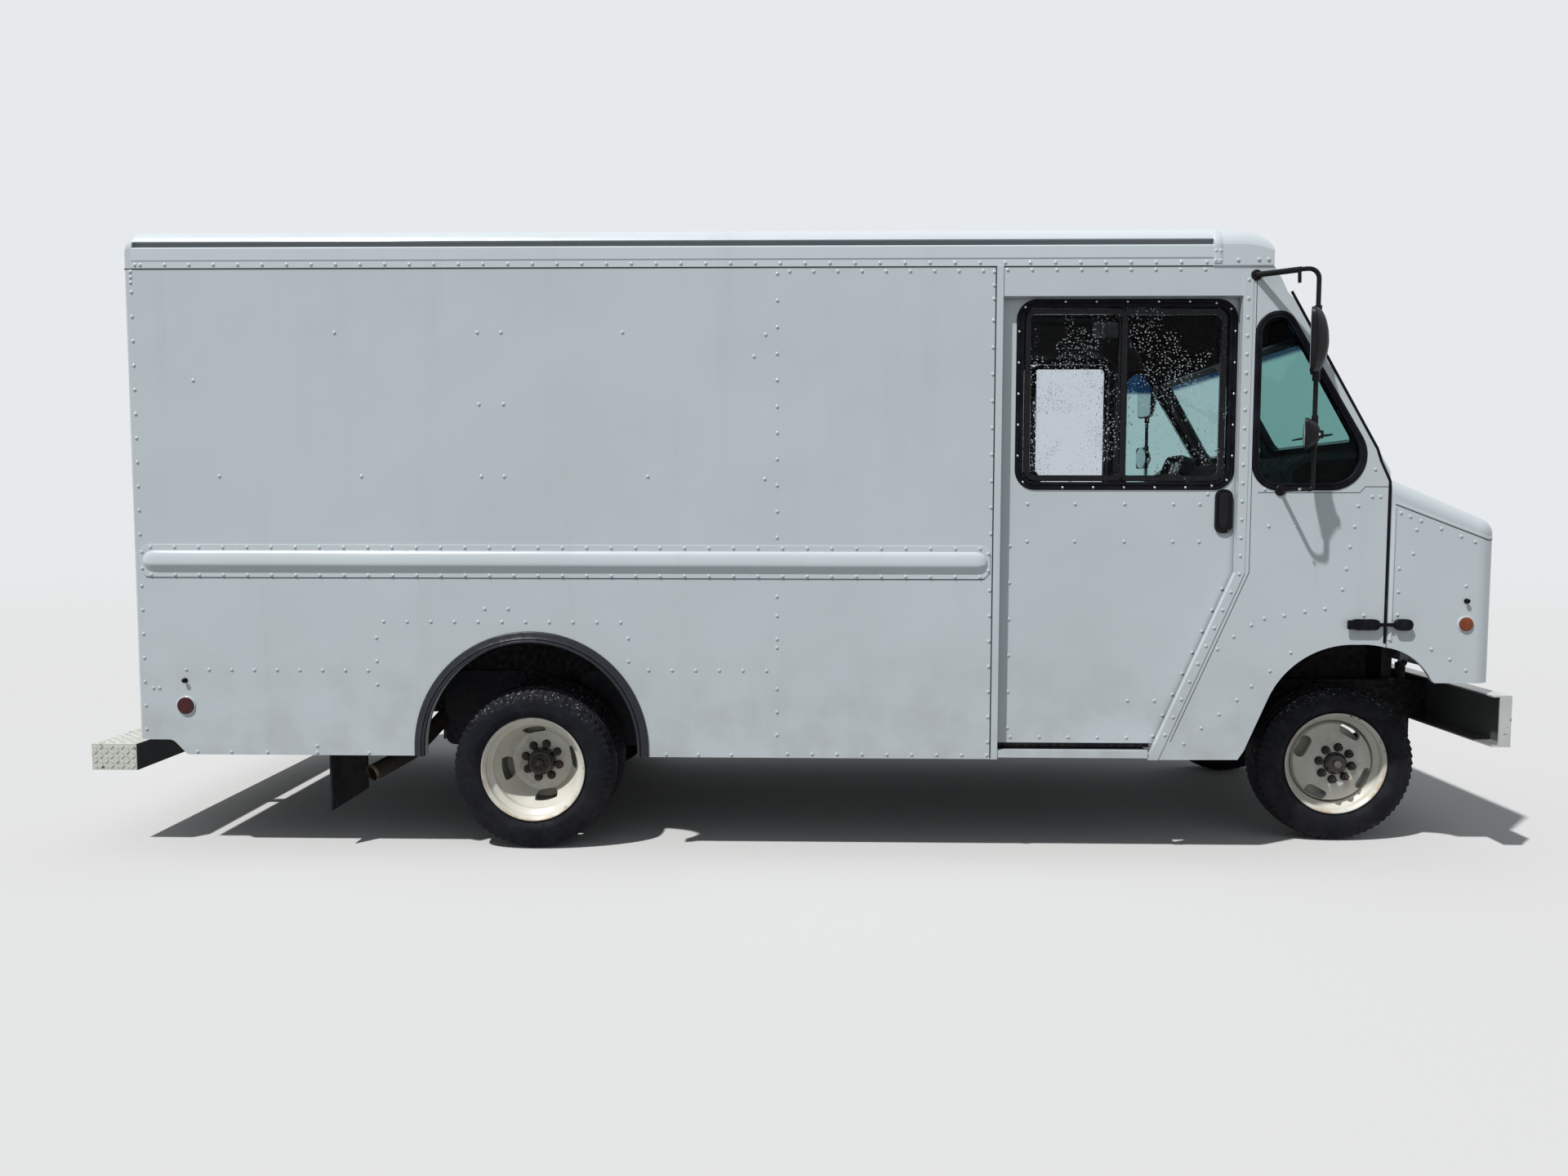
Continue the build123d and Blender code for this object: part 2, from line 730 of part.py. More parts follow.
# Step bumper at the back, folded plate, open below, with its brackets
step_plate = 8
with BuildPart() as rear_bumper:
    block((step_back_x, -step_half_width, step_bottom), (step_back_x + step_depth, step_half_width, step_top))
    block(
        (step_back_x + step_plate, -step_half_width + step_plate, step_bottom),
        (step_back_x + step_depth - step_plate, step_half_width - step_plate, step_top - step_plate),
        mode=Mode.SUBTRACT,
    )
    for side in (-1, 1):
        ends = sorted((side * frame_half_width, side * (frame_half_width + 12)))
        block((step_back_x + step_depth, ends[0], 420), (frame_rear_x + 180, ends[1], notch_z))
        block((frame_rear_x, ends[0], notch_z), (frame_rear_x + 180, ends[1], 700))
write(rear_bumper, "rear_bumper")

# Front bumper: a channel open to the rear, its ends turned back
with BuildPart() as front_bumper:
    face_x = bumper_face_x - bumper_plate
    block((face_x, -body_half_width, bumper_bottom), (bumper_face_x, body_half_width, bumper_top))
    for z in (bumper_bottom, bumper_top - bumper_plate):
        block((bumper_face_x - 90, -body_half_width, z), (face_x, body_half_width, z + bumper_plate))
    for side in (-1, 1):
        ends = sorted((side * body_half_width, side * (body_half_width - bumper_plate)))
        block(
            (bumper_face_x - bumper_return, ends[0], bumper_bottom + bumper_plate),
            (face_x, ends[1], bumper_top - bumper_plate),
        )
write(front_bumper, "front_bumper")

# Front of the cab: brow, windshield slope, cowl and firewall in one section
slope_top = (front_axle_x - 328, 2547)
slope_foot = (front_axle_x + 14, 1953)
cab_front_profile = [  # outer face, from the brow down to the cowl
    (-501, cap_bottom),
    (-465, 2755),
    (-433, 2690),
    (-386, 2638),
    (-328, 2547),
    (14, 1953),
    (70, 1858),
    (77, 1785),
]
slant_wall = 46  # the wall's thickness measured along X on the slope
screen_half_height = 300
screen_width = 1060
screen_y = 560
screen_corner = 75
gasket_width = 34
gasket_proud = 6
glass = 8
screen_plane = Plane(
    origin=((slope_top[0] + slope_foot[0]) / 2, 0, (slope_top[1] + slope_foot[1]) / 2),
    x_dir=(0, 1, 0),
    z_dir=(slope_top[1] - slope_foot[1], 0, slope_foot[0] - slope_top[0]),
)
firewall_hole = 360
with BuildPart() as cab_front:
    with BuildSketch(Plane.XZ.offset(-inner_half_width)):
        with BuildLine():
            outside = [front(x, z) for x, z in cab_front_profile]
            inside = [front(x - slant_wall, z) for x, z in reversed(cab_front_profile[:-1])]
            cowl = [(cowl_x, 1040), (firewall_back_x, 1040), (firewall_back_x, outside[-1][1])]
            Polyline(*outside, *cowl, *inside, close=True)
        make_face()
    extrude(amount=2 * inner_half_width)
    with BuildSketch(screen_plane):
        with Locations((-screen_y, 0), (screen_y, 0)):
            RectangleRounded(screen_width, 2 * screen_half_height, screen_corner)
    extrude(amount=60, both=True, mode=Mode.SUBTRACT)
    block(
        (firewall_back_x - 5, -firewall_hole, 1000), (cowl_x + 5, firewall_hole, cover_top - sheet), mode=Mode.SUBTRACT
    )
write(cab_front, "cab_front")

# Cab sides: window, wheel arch and the riveted post in front of the doorway
window_corners = [(-578, 1767), (89, 1767), (-417, 2604), (-578, 2604)]
window_radii = (125, 165, 85, 110)
arch_start = (-606, skirt_z + 3)


def cab_window(inset):
    """The quarter window's outline, drawn in by a distance."""
    with BuildLine() as outline:
        FilletPolyline(*[front(x, z) for x, z in window_corners], radius=window_radii, close=True)
    make_face(outline.edges())
    if inset:
        offset(amount=-inset)


with BuildPart() as cab_sides:
    with BuildSketch(side_inner):
        with BuildLine():
            side_front = [front(x, z) for x, z in reversed(cab_front_profile)]
            arch_rise = ThreePointArc(front(-468, 780), front(-313, 965), front(-54, 1037))
            arch_fall = ThreePointArc(arch_rise @ 1, front(20, 1035), (cowl_x, 1024))
            Polyline(arch_fall @ 1, *side_front)
            Polyline(
                side_front[-1],
                (knee_x, seam_z),
                (knee_x, knee_z),
                (foot_x, foot_z),
                (foot_x - 35, skirt_z),
                front(*arch_start),
                front(-578, 522),
                arch_rise @ 0,
            )
        make_face()
    extrude(amount=wall)
    with BuildSketch(side_inner):
        cab_window(0)
    extrude(amount=wall, mode=Mode.SUBTRACT)
    # Riveted strip down the post
    strip = 46
    with BuildSketch(side_outer):
        with BuildLine():
            Polyline(
                (knee_x, seam_z - 38),
                (knee_x, knee_z),
                (foot_x, foot_z),
                (foot_x - 35, skirt_z),
                (foot_x - 35 + strip, skirt_z),
                (foot_x + strip, foot_z),
                (knee_x + strip - 5, knee_z),
                (knee_x + strip, seam_z - 38),
                close=True,
            )
        make_face()
    extrude(amount=4)
    mirror_sides()
write(cab_sides, "cab_sides")

# Rubber gaskets round the windshield and quarter windows, and their glass
with BuildPart() as window_gaskets:
    with BuildSketch(screen_plane.offset(-wall)):
        with Locations((-screen_y, 0), (screen_y, 0)):
            RectangleRounded(screen_width, 2 * screen_half_height, screen_corner)
            RectangleRounded(
                screen_width - 2 * gasket_width,
                2 * (screen_half_height - gasket_width),
                screen_corner - gasket_width,
                mode=Mode.SUBTRACT,
            )
    extrude(amount=wall + gasket_proud)
    for side in (-1, 1):
        base = Plane(origin=(0, side * inner_half_width, 0), x_dir=(1, 0, 0), z_dir=(0, -1, 0))
        with BuildSketch(base):
            cab_window(0)
        extrude(amount=-side * (wall + gasket_proud))
        with BuildSketch(base):
            cab_window(gasket_width)
        extrude(amount=-side * (wall + gasket_proud), mode=Mode.SUBTRACT)
write(window_gaskets, "window_gaskets")

with BuildPart() as cab_glass:
    with BuildSketch(screen_plane.offset(-wall / 2 - glass / 2)):
        with Locations((-screen_y, 0), (screen_y, 0)):
            RectangleRounded(
                screen_width - 2 * gasket_width,
                2 * (screen_half_height - gasket_width),
                screen_corner - gasket_width,
            )
    extrude(amount=glass)
    with BuildSketch(Plane.XZ.offset(body_half_width - wall / 2 - glass / 2)):
        cab_window(gasket_width)
    extrude(amount=glass)
    mirror_sides()
write(cab_glass, "cab_glass")

# Doorways: header panel, track above the door, sill and step well
track_rear_x = doorway_rear_x - 1080
track_front_x = front_axle_x - 580
track_outer_y = door_outer_y + 8
track_inner_y = door_inner_y - 8
lip_z = door_top + 10
track_top = lip_z + 46
roller_radius = 13
with BuildPart() as doorways:
    block((doorway_rear_x, -body_half_width, header_z), (knee_x, -inner_half_width, seam_z))
    block((track_rear_x, -inner_half_width, lip_z - 4), (track_front_x, -track_outer_y, track_top))
    block((track_rear_x, -inner_half_width, track_top), (track_front_x, -track_inner_y + 4, track_top + 4))
    block((track_rear_x, -track_inner_y, lip_z - 4), (track_front_x, -track_inner_y + 4, track_top))
    block((track_rear_x, -track_outer_y, lip_z - 4), (track_front_x, -track_outer_y + 14, lip_z))
    block((track_rear_x, -track_inner_y - 14, lip_z - 4), (track_front_x, -track_inner_y, lip_z))
    sill_bottom = sill_top - sill_height
    block((doorway_rear_x, -body_half_width, sill_bottom), (foot_x - 35, -step_well_y, sill_top))
    block((doorway_rear_x, -step_well_y, sill_bottom), (foot_x - 35, -step_well_y + 20, floor_z))
    mirror_sides()
write(doorways, "doorways")

# Sliding doors with their hangers, window rubber, glass and paddle handles
door_rear_x = doorway_rear_x - door_overlap
window_centre = (front_axle_x - 1160, door_top - 502)
window_size = (1040, 898)
window_corner = 95
rubber_width = 38
rubber_proud = 6
handle_centre = (front_axle_x - 686, 1668)
handle_size = (83, 210)
handle_depth = 22
hanger_places = (door_rear_x + 120, knee_x - 120)


def door_side(side, y):
    """A sketch plane on a door, facing outward on the given side."""
    return Plane(origin=(0, side * y, 0), x_dir=(1, 0, 0), z_dir=(0, -1, 0))


for side, name in ((-1, "right"), (1, "left")):
    outward = -side  # sketch planes face -Y, so outward is positive on the right
    with BuildPart() as door:
        with BuildSketch(door_side(side, door_inner_y)):
            with BuildLine():
                Polyline(
                    (door_rear_x, door_bottom),
                    (foot_x + door_front_lap - 14, door_bottom),
                    (knee_x + door_front_lap, knee_z - 10),
                    (knee_x + door_front_lap, door_top),
                    (door_rear_x, door_top),
                    close=True,
                )
            make_face()
            with Locations(window_centre):
                RectangleRounded(*window_size, window_corner, mode=Mode.SUBTRACT)
        extrude(amount=outward * door_skin)
        mid_y = (door_outer_y + door_inner_y) / 2
        for x in hanger_places:
            block(
                (x - 30, side * mid_y - 5, door_top - 5),
                (x + 30, side * mid_y + 5, lip_z + fit + 2 * roller_radius),
            )
            with Locations((x, side * mid_y, lip_z + fit + roller_radius)):
                Cylinder(roller_radius, door_skin + 4, rotation=(90, 0, 0))
    write(door, f"door_{name}")
    with BuildPart() as door_trim:
        with BuildSketch(door_side(side, door_inner_y)):
            with Locations(window_centre):
                RectangleRounded(*window_size, window_corner)
                RectangleRounded(
                    window_size[0] - 2 * rubber_width,
                    window_size[1] - 2 * rubber_width,
                    window_corner - rubber_width,
                    mode=Mode.SUBTRACT,
                )
        extrude(amount=outward * (door_skin + rubber_proud))
        with BuildSketch(door_side(side, door_outer_y)):
            with Locations(handle_centre):
                RectangleRounded(*handle_size, 36)
        extrude(amount=outward * handle_depth)
    write(door_trim, f"door_trim_{name}")
    with BuildPart() as door_glass:
        with BuildSketch(door_side(side, mid_y - glass / 2)):
            with Locations(window_centre):
                RectangleRounded(
                    window_size[0] - 2 * rubber_width,
                    window_size[1] - 2 * rubber_width,
                    window_corner - rubber_width,
                )
        extrude(amount=outward * glass)
    write(door_glass, f"door_glass_{name}")

# Bulkhead between cab and cargo, with its walk-through doorway
bulkhead_x = rear_axle_x + 2120
bulkhead_half_width = door_inner_y - 30
with BuildPart() as bulkhead:
    with BuildSketch(Plane.YZ.offset(bulkhead_x)):
        with BuildLine():
            slope = (roof_inner_edge[1] - crown_z + wall) / roof_inner_edge[0]
            Polyline(
                (0, crown_z - wall),
                (bulkhead_half_width, crown_z - wall + slope * bulkhead_half_width),
                (bulkhead_half_width, floor_top),
                (0, floor_top),
                close=True,
            )
        make_face()
    extrude(amount=wall)
    mirror_sides()
    block((bulkhead_x, -330, floor_top), (bulkhead_x + wall, 330, 2750), mode=Mode.SUBTRACT)
write(bulkhead, "bulkhead")

# Dashboard across the cab, with the steering column
column_foot = Vector(front_axle_x - 250, 560, 1450)
column_top = Vector(front_axle_x - 560, 560, 1655)
column_radius = 24
with BuildPart() as dashboard:
    with BuildSketch(Plane.XZ.offset(-inner_half_width)):
        with BuildLine():
            Polyline(
                front(-33, 1953),
                front(-310, 1935),
                front(-400, 1870),
                front(-410, 1780),
                front(-330, 1480),
                front(-300, 1480),
                front(-378, 1780),
                front(-370, 1858),
                front(-300, 1905),
                front(-33, 1923),
                close=True,
            )
        make_face()
    extrude(amount=2 * inner_half_width)
    column = Edge.make_line(column_foot, column_top)
    with BuildSketch(Plane(origin=column @ 0, z_dir=column % 0)):
        Circle(column_radius)
    extrude(amount=column.length - 60)
    with BuildSketch(Plane(origin=column @ 0, z_dir=column % 0)):
        Circle(9)
    extrude(amount=column.length)
write(dashboard, "dashboard")

# Steering wheel on its shaft
wheel_rim_radius = 225
wheel_tube = 15
wheel_plane = Plane(origin=column_top, x_dir=(0, 1, 0), z_dir=column_top - column_foot)
with BuildPart() as steering_wheel:
    with BuildSketch(Plane(origin=column_top, x_dir=wheel_plane.x_dir, z_dir=wheel_plane.y_dir)):
        with Locations((wheel_rim_radius, 0)):
            Circle(wheel_tube)
    revolve(axis=Axis(column_top, wheel_plane.z_dir))
    with BuildSketch(wheel_plane.offset(-wheel_tube)):
        Circle(55)
        with PolarLocations(wheel_rim_radius / 2, 4, start_angle=30):
            Rectangle(wheel_rim_radius - 10, 26)
    extrude(amount=20)
    with BuildSketch(wheel_plane.offset(-58)):
        Circle(40)
    extrude(amount=50)
    with BuildSketch(wheel_plane.offset(-70)):
        Circle(9 + fit)
    extrude(amount=70 + fit, mode=Mode.SUBTRACT)
write(steering_wheel, "steering_wheel")

# Driver's seat on its pedestal
seat_x = front_axle_x - 1040
seat_y = 560
cushion_z = 1190
with BuildPart() as driver_seat:
    block((seat_x - 170, seat_y - 150, floor_top), (seat_x + 170, seat_y + 150, cushion_z))
    with BuildSketch(Plane.XZ.offset(-seat_y - 240)):
        with BuildLine():
            FilletPolyline(
                (seat_x - 260, cushion_z),
                (seat_x + 250, cushion_z),
                (seat_x + 265, 1310),
                (seat_x - 130, 1290),
                (seat_x - 230, 1940),
                (seat_x - 330, 1930),
                radius=(30, 40, 50, 40, 45, 45),
                close=True,
            )
        make_face()
    extrude(amount=480)
write(driver_seat, "driver_seat")

# Mirrors on their tube arms, one each side
arm_radius = 11
bracket_radius = 15
mirror_y = -body_half_width - 155
arm_x = front_axle_x - 356
head_x = front_axle_x - 379
small_x = front_axle_x - 395


def mirror_body(back_x, z, depth, width, height, edge):
    """A mirror's housing: flat behind, bowed in plan, its top and foot drawn in towards the front."""
    with BuildPart(mode=Mode.PRIVATE) as body:
        with BuildSketch(Plane.XY.offset(z - height / 2)):
            with BuildLine():
                flat = Line((back_x, mirror_y - width / 2), (back_x, mirror_y + width / 2))
                ThreePointArc(flat @ 0, (back_x + depth, mirror_y), flat @ 1)
            make_face()
        extrude(amount=height)
        with BuildSketch(Plane.XZ.offset(-mirror_y - width)):
            with BuildLine():
                drop = Line((back_x, z - height / 2), (back_x, z + height / 2))
                top = Line(drop @ 1, (back_x + edge, z + height / 2))
                foot = Line(drop @ 0, (back_x + edge, z - height / 2))
                ThreePointArc(top @ 1, (back_x + depth, z), foot @ 1)
            make_face()
        extrude(amount=2 * width, mode=Mode.INTERSECT)
    return body.part


with BuildPart() as mirrors:
    with BuildLine():
        arm = FilletPolyline(
            (front_axle_x - 560, -body_half_width - arm_radius, 2738),
            (front_axle_x - 450, mirror_y + 55, 2752),
            (arm_x, mirror_y, 2786),
            (arm_x, mirror_y, 1770),
            (front_axle_x - 440, -body_half_width - arm_radius, 1736),
            radius=(60, 60, 50),
        )
    with BuildSketch(Plane(origin=arm @ 0, z_dir=arm % 0)):
        Circle(arm_radius)
    sweep()
    bracket = Plane(origin=arm @ 0, z_dir=arm % 0)
    with BuildSketch(bracket) as bar:
        Circle(bracket_radius)
    extrude(bar.sketch, amount=120)
    for foot in (arm @ 0, arm @ 1):
        with Locations((foot.X, -body_half_width - arm_radius / 2, foot.Z)):
            Cylinder(arm_radius + 11, arm_radius, rotation=(90, 0, 0))
    add(mirror_body(head_x, 2442, 76, 184, 296, 44))
    add(mirror_body(small_x, 2022, 66, 128, 142, 30))
    mirror_sides()
write(mirrors, "mirrors")

# Red lamps: stop and tail lamps, top clearance lamps and side markers
tail_radius = 52
with BuildPart() as red_lamps:
    for z in (900, 1030, 1160):
        with Locations((body_rear_x - 10, 95 - body_half_width, z)):
            Cylinder(tail_radius, 20, rotation=(0, 90, 0))
    for y in (110 - body_half_width, -160):
        block((body_rear_x - 28, y - 50, seam_z + 19), (body_rear_x, y + 50, seam_z + 55))
    with Locations((rear_axle_x - 1676, -body_half_width - 10, 717)):
        Cylinder(39, 20, rotation=(90, 0, 0))
    mirror_sides()
    block((body_rear_x - 28, -50, seam_z + 19), (body_rear_x, 50, seam_z + 55))
write(red_lamps, "red_lamps")

# Nose: moulded shell with wheel arches, lamp and grille openings and hinge lugs
nose_rear_x = cowl_x + nose_gap
grille_half_width = 470
grille_bottom = 1010
grille_top = 1400
lamp_centre = (body_half_width - 430, 1215)
lamp_size = (250, 190)
signal_centre = (body_half_width - 430, 1055)
signal_size = (250, 80)
with BuildPart() as nose:
    with BuildSketch(Plane.XZ):
        with BuildLine():
            Polyline(
                (nose_rear_x, nose_bottom),
                (nose_front_x, nose_bottom),
                (nose_front_x, nose_front_top),
                (nose_rear_x, nose_rear_top),
                close=True,
            )
        make_face()
    extrude(amount=body_half_width, both=True)
    fillet(nose.edges().filter_by(Axis.Z).group_by(Axis.X)[-1], nose_corner)
    top_edges = nose.faces().sort_by(Axis.Z)[-1].edges().sort_by(Axis.X)[1:]
    fillet(top_edges, nose_edge)
    open_faces = [nose.faces().sort_by(Axis.X)[0], nose.faces().sort_by(Axis.Z)[0]]
    offset(amount=-nose_wall, openings=open_faces, kind=Kind.INTERSECTION)
    with BuildSketch(Plane.XZ):
        with BuildLine():
            nose_arch = ThreePointArc(
                (nose_rear_x - 1, 1024), front(200, 979), front(297, 870)
            )
            Polyline(
                nose_arch @ 1,
                front(312, nose_bottom),
                front(312, nose_bottom - 5),
                (nose_rear_x - 1, nose_bottom - 5),
                nose_arch @ 0,
            )
        make_face()
    extrude(amount=body_half_width + 5, both=True, mode=Mode.SUBTRACT)
    block(
        (nose_front_x - 60, -grille_half_width, grille_bottom),
        (nose_front_x + 5, grille_half_width, grille_top),
        mode=Mode.SUBTRACT,
    )
    for centre, size in ((lamp_centre, lamp_size), (signal_centre, signal_size)):
        for side in (-1, 1):
            y = side * centre[0]
            block(
                (nose_front_x - 60, y - size[0] / 2, centre[1] - size[1] / 2),
                (nose_front_x + 5, y + size[0] / 2, centre[1] + size[1] / 2),
                mode=Mode.SUBTRACT,
            )
    for side in (-1, 1):
        mid = side * (frame_half_width - frame_width / 2 + 15)
        block(
            (pivot_x - 17, mid - lug_width / 2, pivot_z),
            (nose_front_x - nose_wall, mid + lug_width / 2, pivot_z + 80),
        )
        with Locations((pivot_x, mid, pivot_z)):
            Cylinder(17, lug_width, rotation=(90, 0, 0))
            Cylinder(pivot_radius + fit, lug_width, rotation=(90, 0, 0), mode=Mode.SUBTRACT)
write(nose, "nose")

bar_count = 7
with BuildPart() as grille:
    x0, x1 = nose_front_x - nose_wall, nose_front_x + 4
    block((x0, -grille_half_width, grille_bottom), (x1, grille_half_width, grille_top))
    block(
        (x0, -grille_half_width + 28, grille_bottom + 28), (x1, grille_half_width - 28, grille_top - 28), mode=Mode.SUBTRACT
    )
    pitch = (grille_top - grille_bottom - 28) / (bar_count + 1)
    for bar in range(1, bar_count + 1):
        z = grille_bottom + 14 + bar * pitch
        with Locations((x0 + 12, 0, z)):
            Box(20, 2 * grille_half_width - 40, 16, rotation=(0, 25, 0))
    block((x0, -12, grille_bottom + 10), (x0 + 14, 12, grille_top - 10))
write(grille, "grille")

with BuildPart() as headlamps:
    for side in (-1, 1):
        y = side * lamp_centre[0]
        low, high = lamp_centre[1] - lamp_size[1] / 2, lamp_centre[1] + lamp_size[1] / 2
        block((nose_front_x - 20, y - lamp_size[0] / 2, low), (nose_front_x + 3, y + lamp_size[0] / 2, high))
write(headlamps, "headlamps")

marker_place = (front_axle_x + 448, 1137)
marker_radius = 34
with BuildPart() as amber_lamps:
    for side in (-1, 1):
        y = side * signal_centre[0]
        low, high = signal_centre[1] - signal_size[1] / 2, signal_centre[1] + signal_size[1] / 2
        block((nose_front_x - 20, y - signal_size[0] / 2, low), (nose_front_x + 3, y + signal_size[0] / 2, high))
        with Locations((marker_place[0], side * (body_half_width + 10), marker_place[1])):
            Cylinder(marker_radius, 20, rotation=(90, 0, 0))
write(amber_lamps, "amber_lamps")

# Amber clearance lamps along the brow of the roof cap
with BuildPart() as brow_lamps:
    for y in (170 - body_half_width, -160, 0, 160, body_half_width - 170):
        block((cap_front_x, y - 45, seam_z + 15), (cap_front_x + 26, y + 45, seam_z + 47))
write(brow_lamps, "brow_lamps")

# Rubber nose latches: the strap stays on the cab, the hook plate on the nose
latch_z = 1134
latch_gap = 5
hook_x = front_axle_x + 108
with BuildPart() as latch_straps:
    with BuildSketch(side_outer):
        with Locations((front_axle_x - 28, latch_z)):
            SlotOverall(134, 52)
    extrude(amount=24)
    x0 = front_axle_x + 30
    block((x0, -body_half_width - 22, latch_z - 8), (hook_x - latch_gap, -body_half_width - 8, latch_z + 8))
    mirror_sides()
write(latch_straps, "latch_straps")

with BuildPart() as latch_hooks:
    with BuildSketch(side_outer):
        with Locations((hook_x + 42, latch_z)):
            SlotOverall(84, 54)
    extrude(amount=26)
    mirror_sides()
write(latch_hooks, "latch_hooks")
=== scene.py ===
"""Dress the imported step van: finishes, rivets, tyres, rubber, mirrors, lamps, seat and stage."""
import json
import math

import bmesh
import bpy
import numpy as np
from bpy.props import FloatProperty, FloatVectorProperty, IntProperty, PointerProperty
from mathutils import Matrix, Vector


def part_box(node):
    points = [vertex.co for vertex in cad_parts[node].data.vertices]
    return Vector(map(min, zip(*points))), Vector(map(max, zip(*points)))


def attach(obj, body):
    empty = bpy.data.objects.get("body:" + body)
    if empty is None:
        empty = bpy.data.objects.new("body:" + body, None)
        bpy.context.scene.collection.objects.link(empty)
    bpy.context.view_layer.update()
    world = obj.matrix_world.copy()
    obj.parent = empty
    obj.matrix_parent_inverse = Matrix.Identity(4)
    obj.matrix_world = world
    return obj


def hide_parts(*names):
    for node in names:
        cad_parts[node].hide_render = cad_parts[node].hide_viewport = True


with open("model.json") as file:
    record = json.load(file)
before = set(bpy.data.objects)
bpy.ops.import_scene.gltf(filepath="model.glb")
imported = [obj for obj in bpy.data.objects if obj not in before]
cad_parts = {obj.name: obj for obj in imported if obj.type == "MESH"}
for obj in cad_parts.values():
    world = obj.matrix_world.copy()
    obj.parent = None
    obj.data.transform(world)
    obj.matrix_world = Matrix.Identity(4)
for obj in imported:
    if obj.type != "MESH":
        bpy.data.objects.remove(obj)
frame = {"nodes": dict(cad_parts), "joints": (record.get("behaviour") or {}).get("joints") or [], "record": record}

bl_info = {
    "name": "Step van dressing",
    "version": (1, 0, 0),
    "blender": (4, 5, 0),
    "location": "View3D > Sidebar > Step van",
    "description": "Finishes, rivets, tyres, rubber and fittings round a packed step van",
    "category": "Object",
}

nodes = frame["nodes"]
joints = {joint["name"]: joint for joint in frame["joints"]}
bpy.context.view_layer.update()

# Places taken from the construction, in metres
axle_front = joints["steer_left"]["pos_m"][0]
axle_rear = joints["rear_spin_left"]["pos_m"][0]
wheel_z = joints["rear_spin_left"]["pos_m"][2]
rear_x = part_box("rear_frame")[0].x
wall_y = 1.190
door_y = 1.136
sides = {"right": -1, "left": 1}

X = np.array([1.0, 0.0, 0.0])
Y = np.array([0.0, 1.0, 0.0])
Z = np.array([0.0, 0.0, 1.0])
slope_up = np.array([-0.49896, 0.0, 0.86662])  # up the windshield
slope_out = np.array([0.86662, 0.0, 0.49896])


# Sizes and colours that a user would change


class PaintSettings(bpy.types.PropertyGroup):
    """Colours and wear of the painted metal."""

    body: FloatVectorProperty(name="Body", description="Body paint", subtype="COLOR", size=3,
                              default=(0.55, 0.61, 0.65))
    rim: FloatVectorProperty(name="Rims", description="Wheel paint", subtype="COLOR", size=3,
                             default=(0.66, 0.655, 0.60))
    dust: FloatVectorProperty(name="Dust", description="Road dust", subtype="COLOR", size=3,
                              default=(0.30, 0.27, 0.23))
    roughness: FloatProperty(name="Roughness", description="Of the body paint", default=0.34, min=0.05,
                             max=1.0)
    waviness: FloatProperty(name="Waviness", description="How far the panels bulge", default=0.0012,
                            unit="LENGTH")


class RivetSettings(bpy.types.PropertyGroup):
    """The rivets' heads and their spacing."""

    radius: FloatProperty(name="Radius", description="Of a rivet's head", default=0.0085, unit="LENGTH")
    height: FloatProperty(name="Height", description="Of a rivet's head", default=0.0045, unit="LENGTH")
    pitch: FloatProperty(name="Pitch", description="From one rivet to the next in a row", default=0.118,
                         unit="LENGTH")


class TyreSettings(bpy.types.PropertyGroup):
    """The tyres' outline and tread."""

    radius: FloatProperty(name="Radius", description="Of the tread", default=0.398, unit="LENGTH")
    width: FloatProperty(name="Width", description="Across the side walls", default=0.225, unit="LENGTH")
    tread: FloatProperty(name="Tread depth", description="Of the grooves", default=0.010, unit="LENGTH")
    notches: IntProperty(name="Notches", description="Cross grooves round the shoulder", default=66, min=8)


class StageSettings(bpy.types.PropertyGroup):
    """Lights and background."""

    sun: FloatProperty(name="Key light", description="Strength of the key light", default=3.5, min=0.0)
    fill: FloatProperty(name="Fill light", description="Strength of the surroundings", default=0.34, min=0.0)
    background: FloatVectorProperty(name="Background", description="Colour behind the van", subtype="COLOR",
                                    size=3, default=(0.80, 0.82, 0.84))


# Surfaces as arrays


class Patch:
    """Points and four-sided faces, kept as arrays until a mesh is built."""

    def __init__(self, points, quads):
        self.points = np.asarray(points, float).reshape(-1, 3)
        self.quads = np.asarray(quads, int).reshape(-1, 4)


def join(*patches):
    """One patch of several: the faces' numbers go up by the points that come before."""
    starts = np.cumsum([0] + [len(p.points) for p in patches[:-1]])
    return Patch(
        np.concatenate([p.points for p in patches]),
        np.concatenate([p.quads + s for p, s in zip(patches, starts)]),
    )


def grid(points, wrap_rows=False, wrap_columns=False):
    """A sheet through a grid of points: each cell is a four-sided face, and wrapped ends meet."""
    rows, columns = points.shape[:2]
    i, j = np.meshgrid(np.arange(rows if wrap_rows else rows - 1),
                       np.arange(columns if wrap_columns else columns - 1), indexing="ij")
    i2, j2 = (i + 1) % rows, (j + 1) % columns
    corners = [i * columns + j, i * columns + j2, i2 * columns + j2, i2 * columns + j]
    return Patch(points, np.stack(corners, -1))


def closed_ends(points):
    """A tube of rings with each end drawn together at its middle point, so that it has no hole."""
    first = np.broadcast_to(points[:1].mean(1, keepdims=True), points[:1].shape)
    last = np.broadcast_to(points[-1:].mean(1, keepdims=True), points[-1:].shape)
    return grid(np.concatenate([first, points, last]), wrap_columns=True)


def stamp(patch, origins, u=X, v=Y, w=Z):
    """Copies of a patch: each point is origin + a*u + b*v + c*w, for all origins at once."""
    origins = np.asarray(origins, float).reshape(-1, 3)
    u, v, w = (np.broadcast_to(np.asarray(axis, float), origins.shape)[:, None] for axis in (u, v, w))
    a, b, c = (patch.points[None, :, k, None] for k in range(3))
    points = origins[:, None] + a * u + b * v + c * w
    steps = np.arange(len(origins))[:, None, None] * len(patch.points)
    return Patch(points, patch.quads + steps)


def xyz(x, y, z):
    """Points from three coordinates, each a number or an array of them."""
    return np.stack(np.broadcast_arrays(x, y, z), -1)


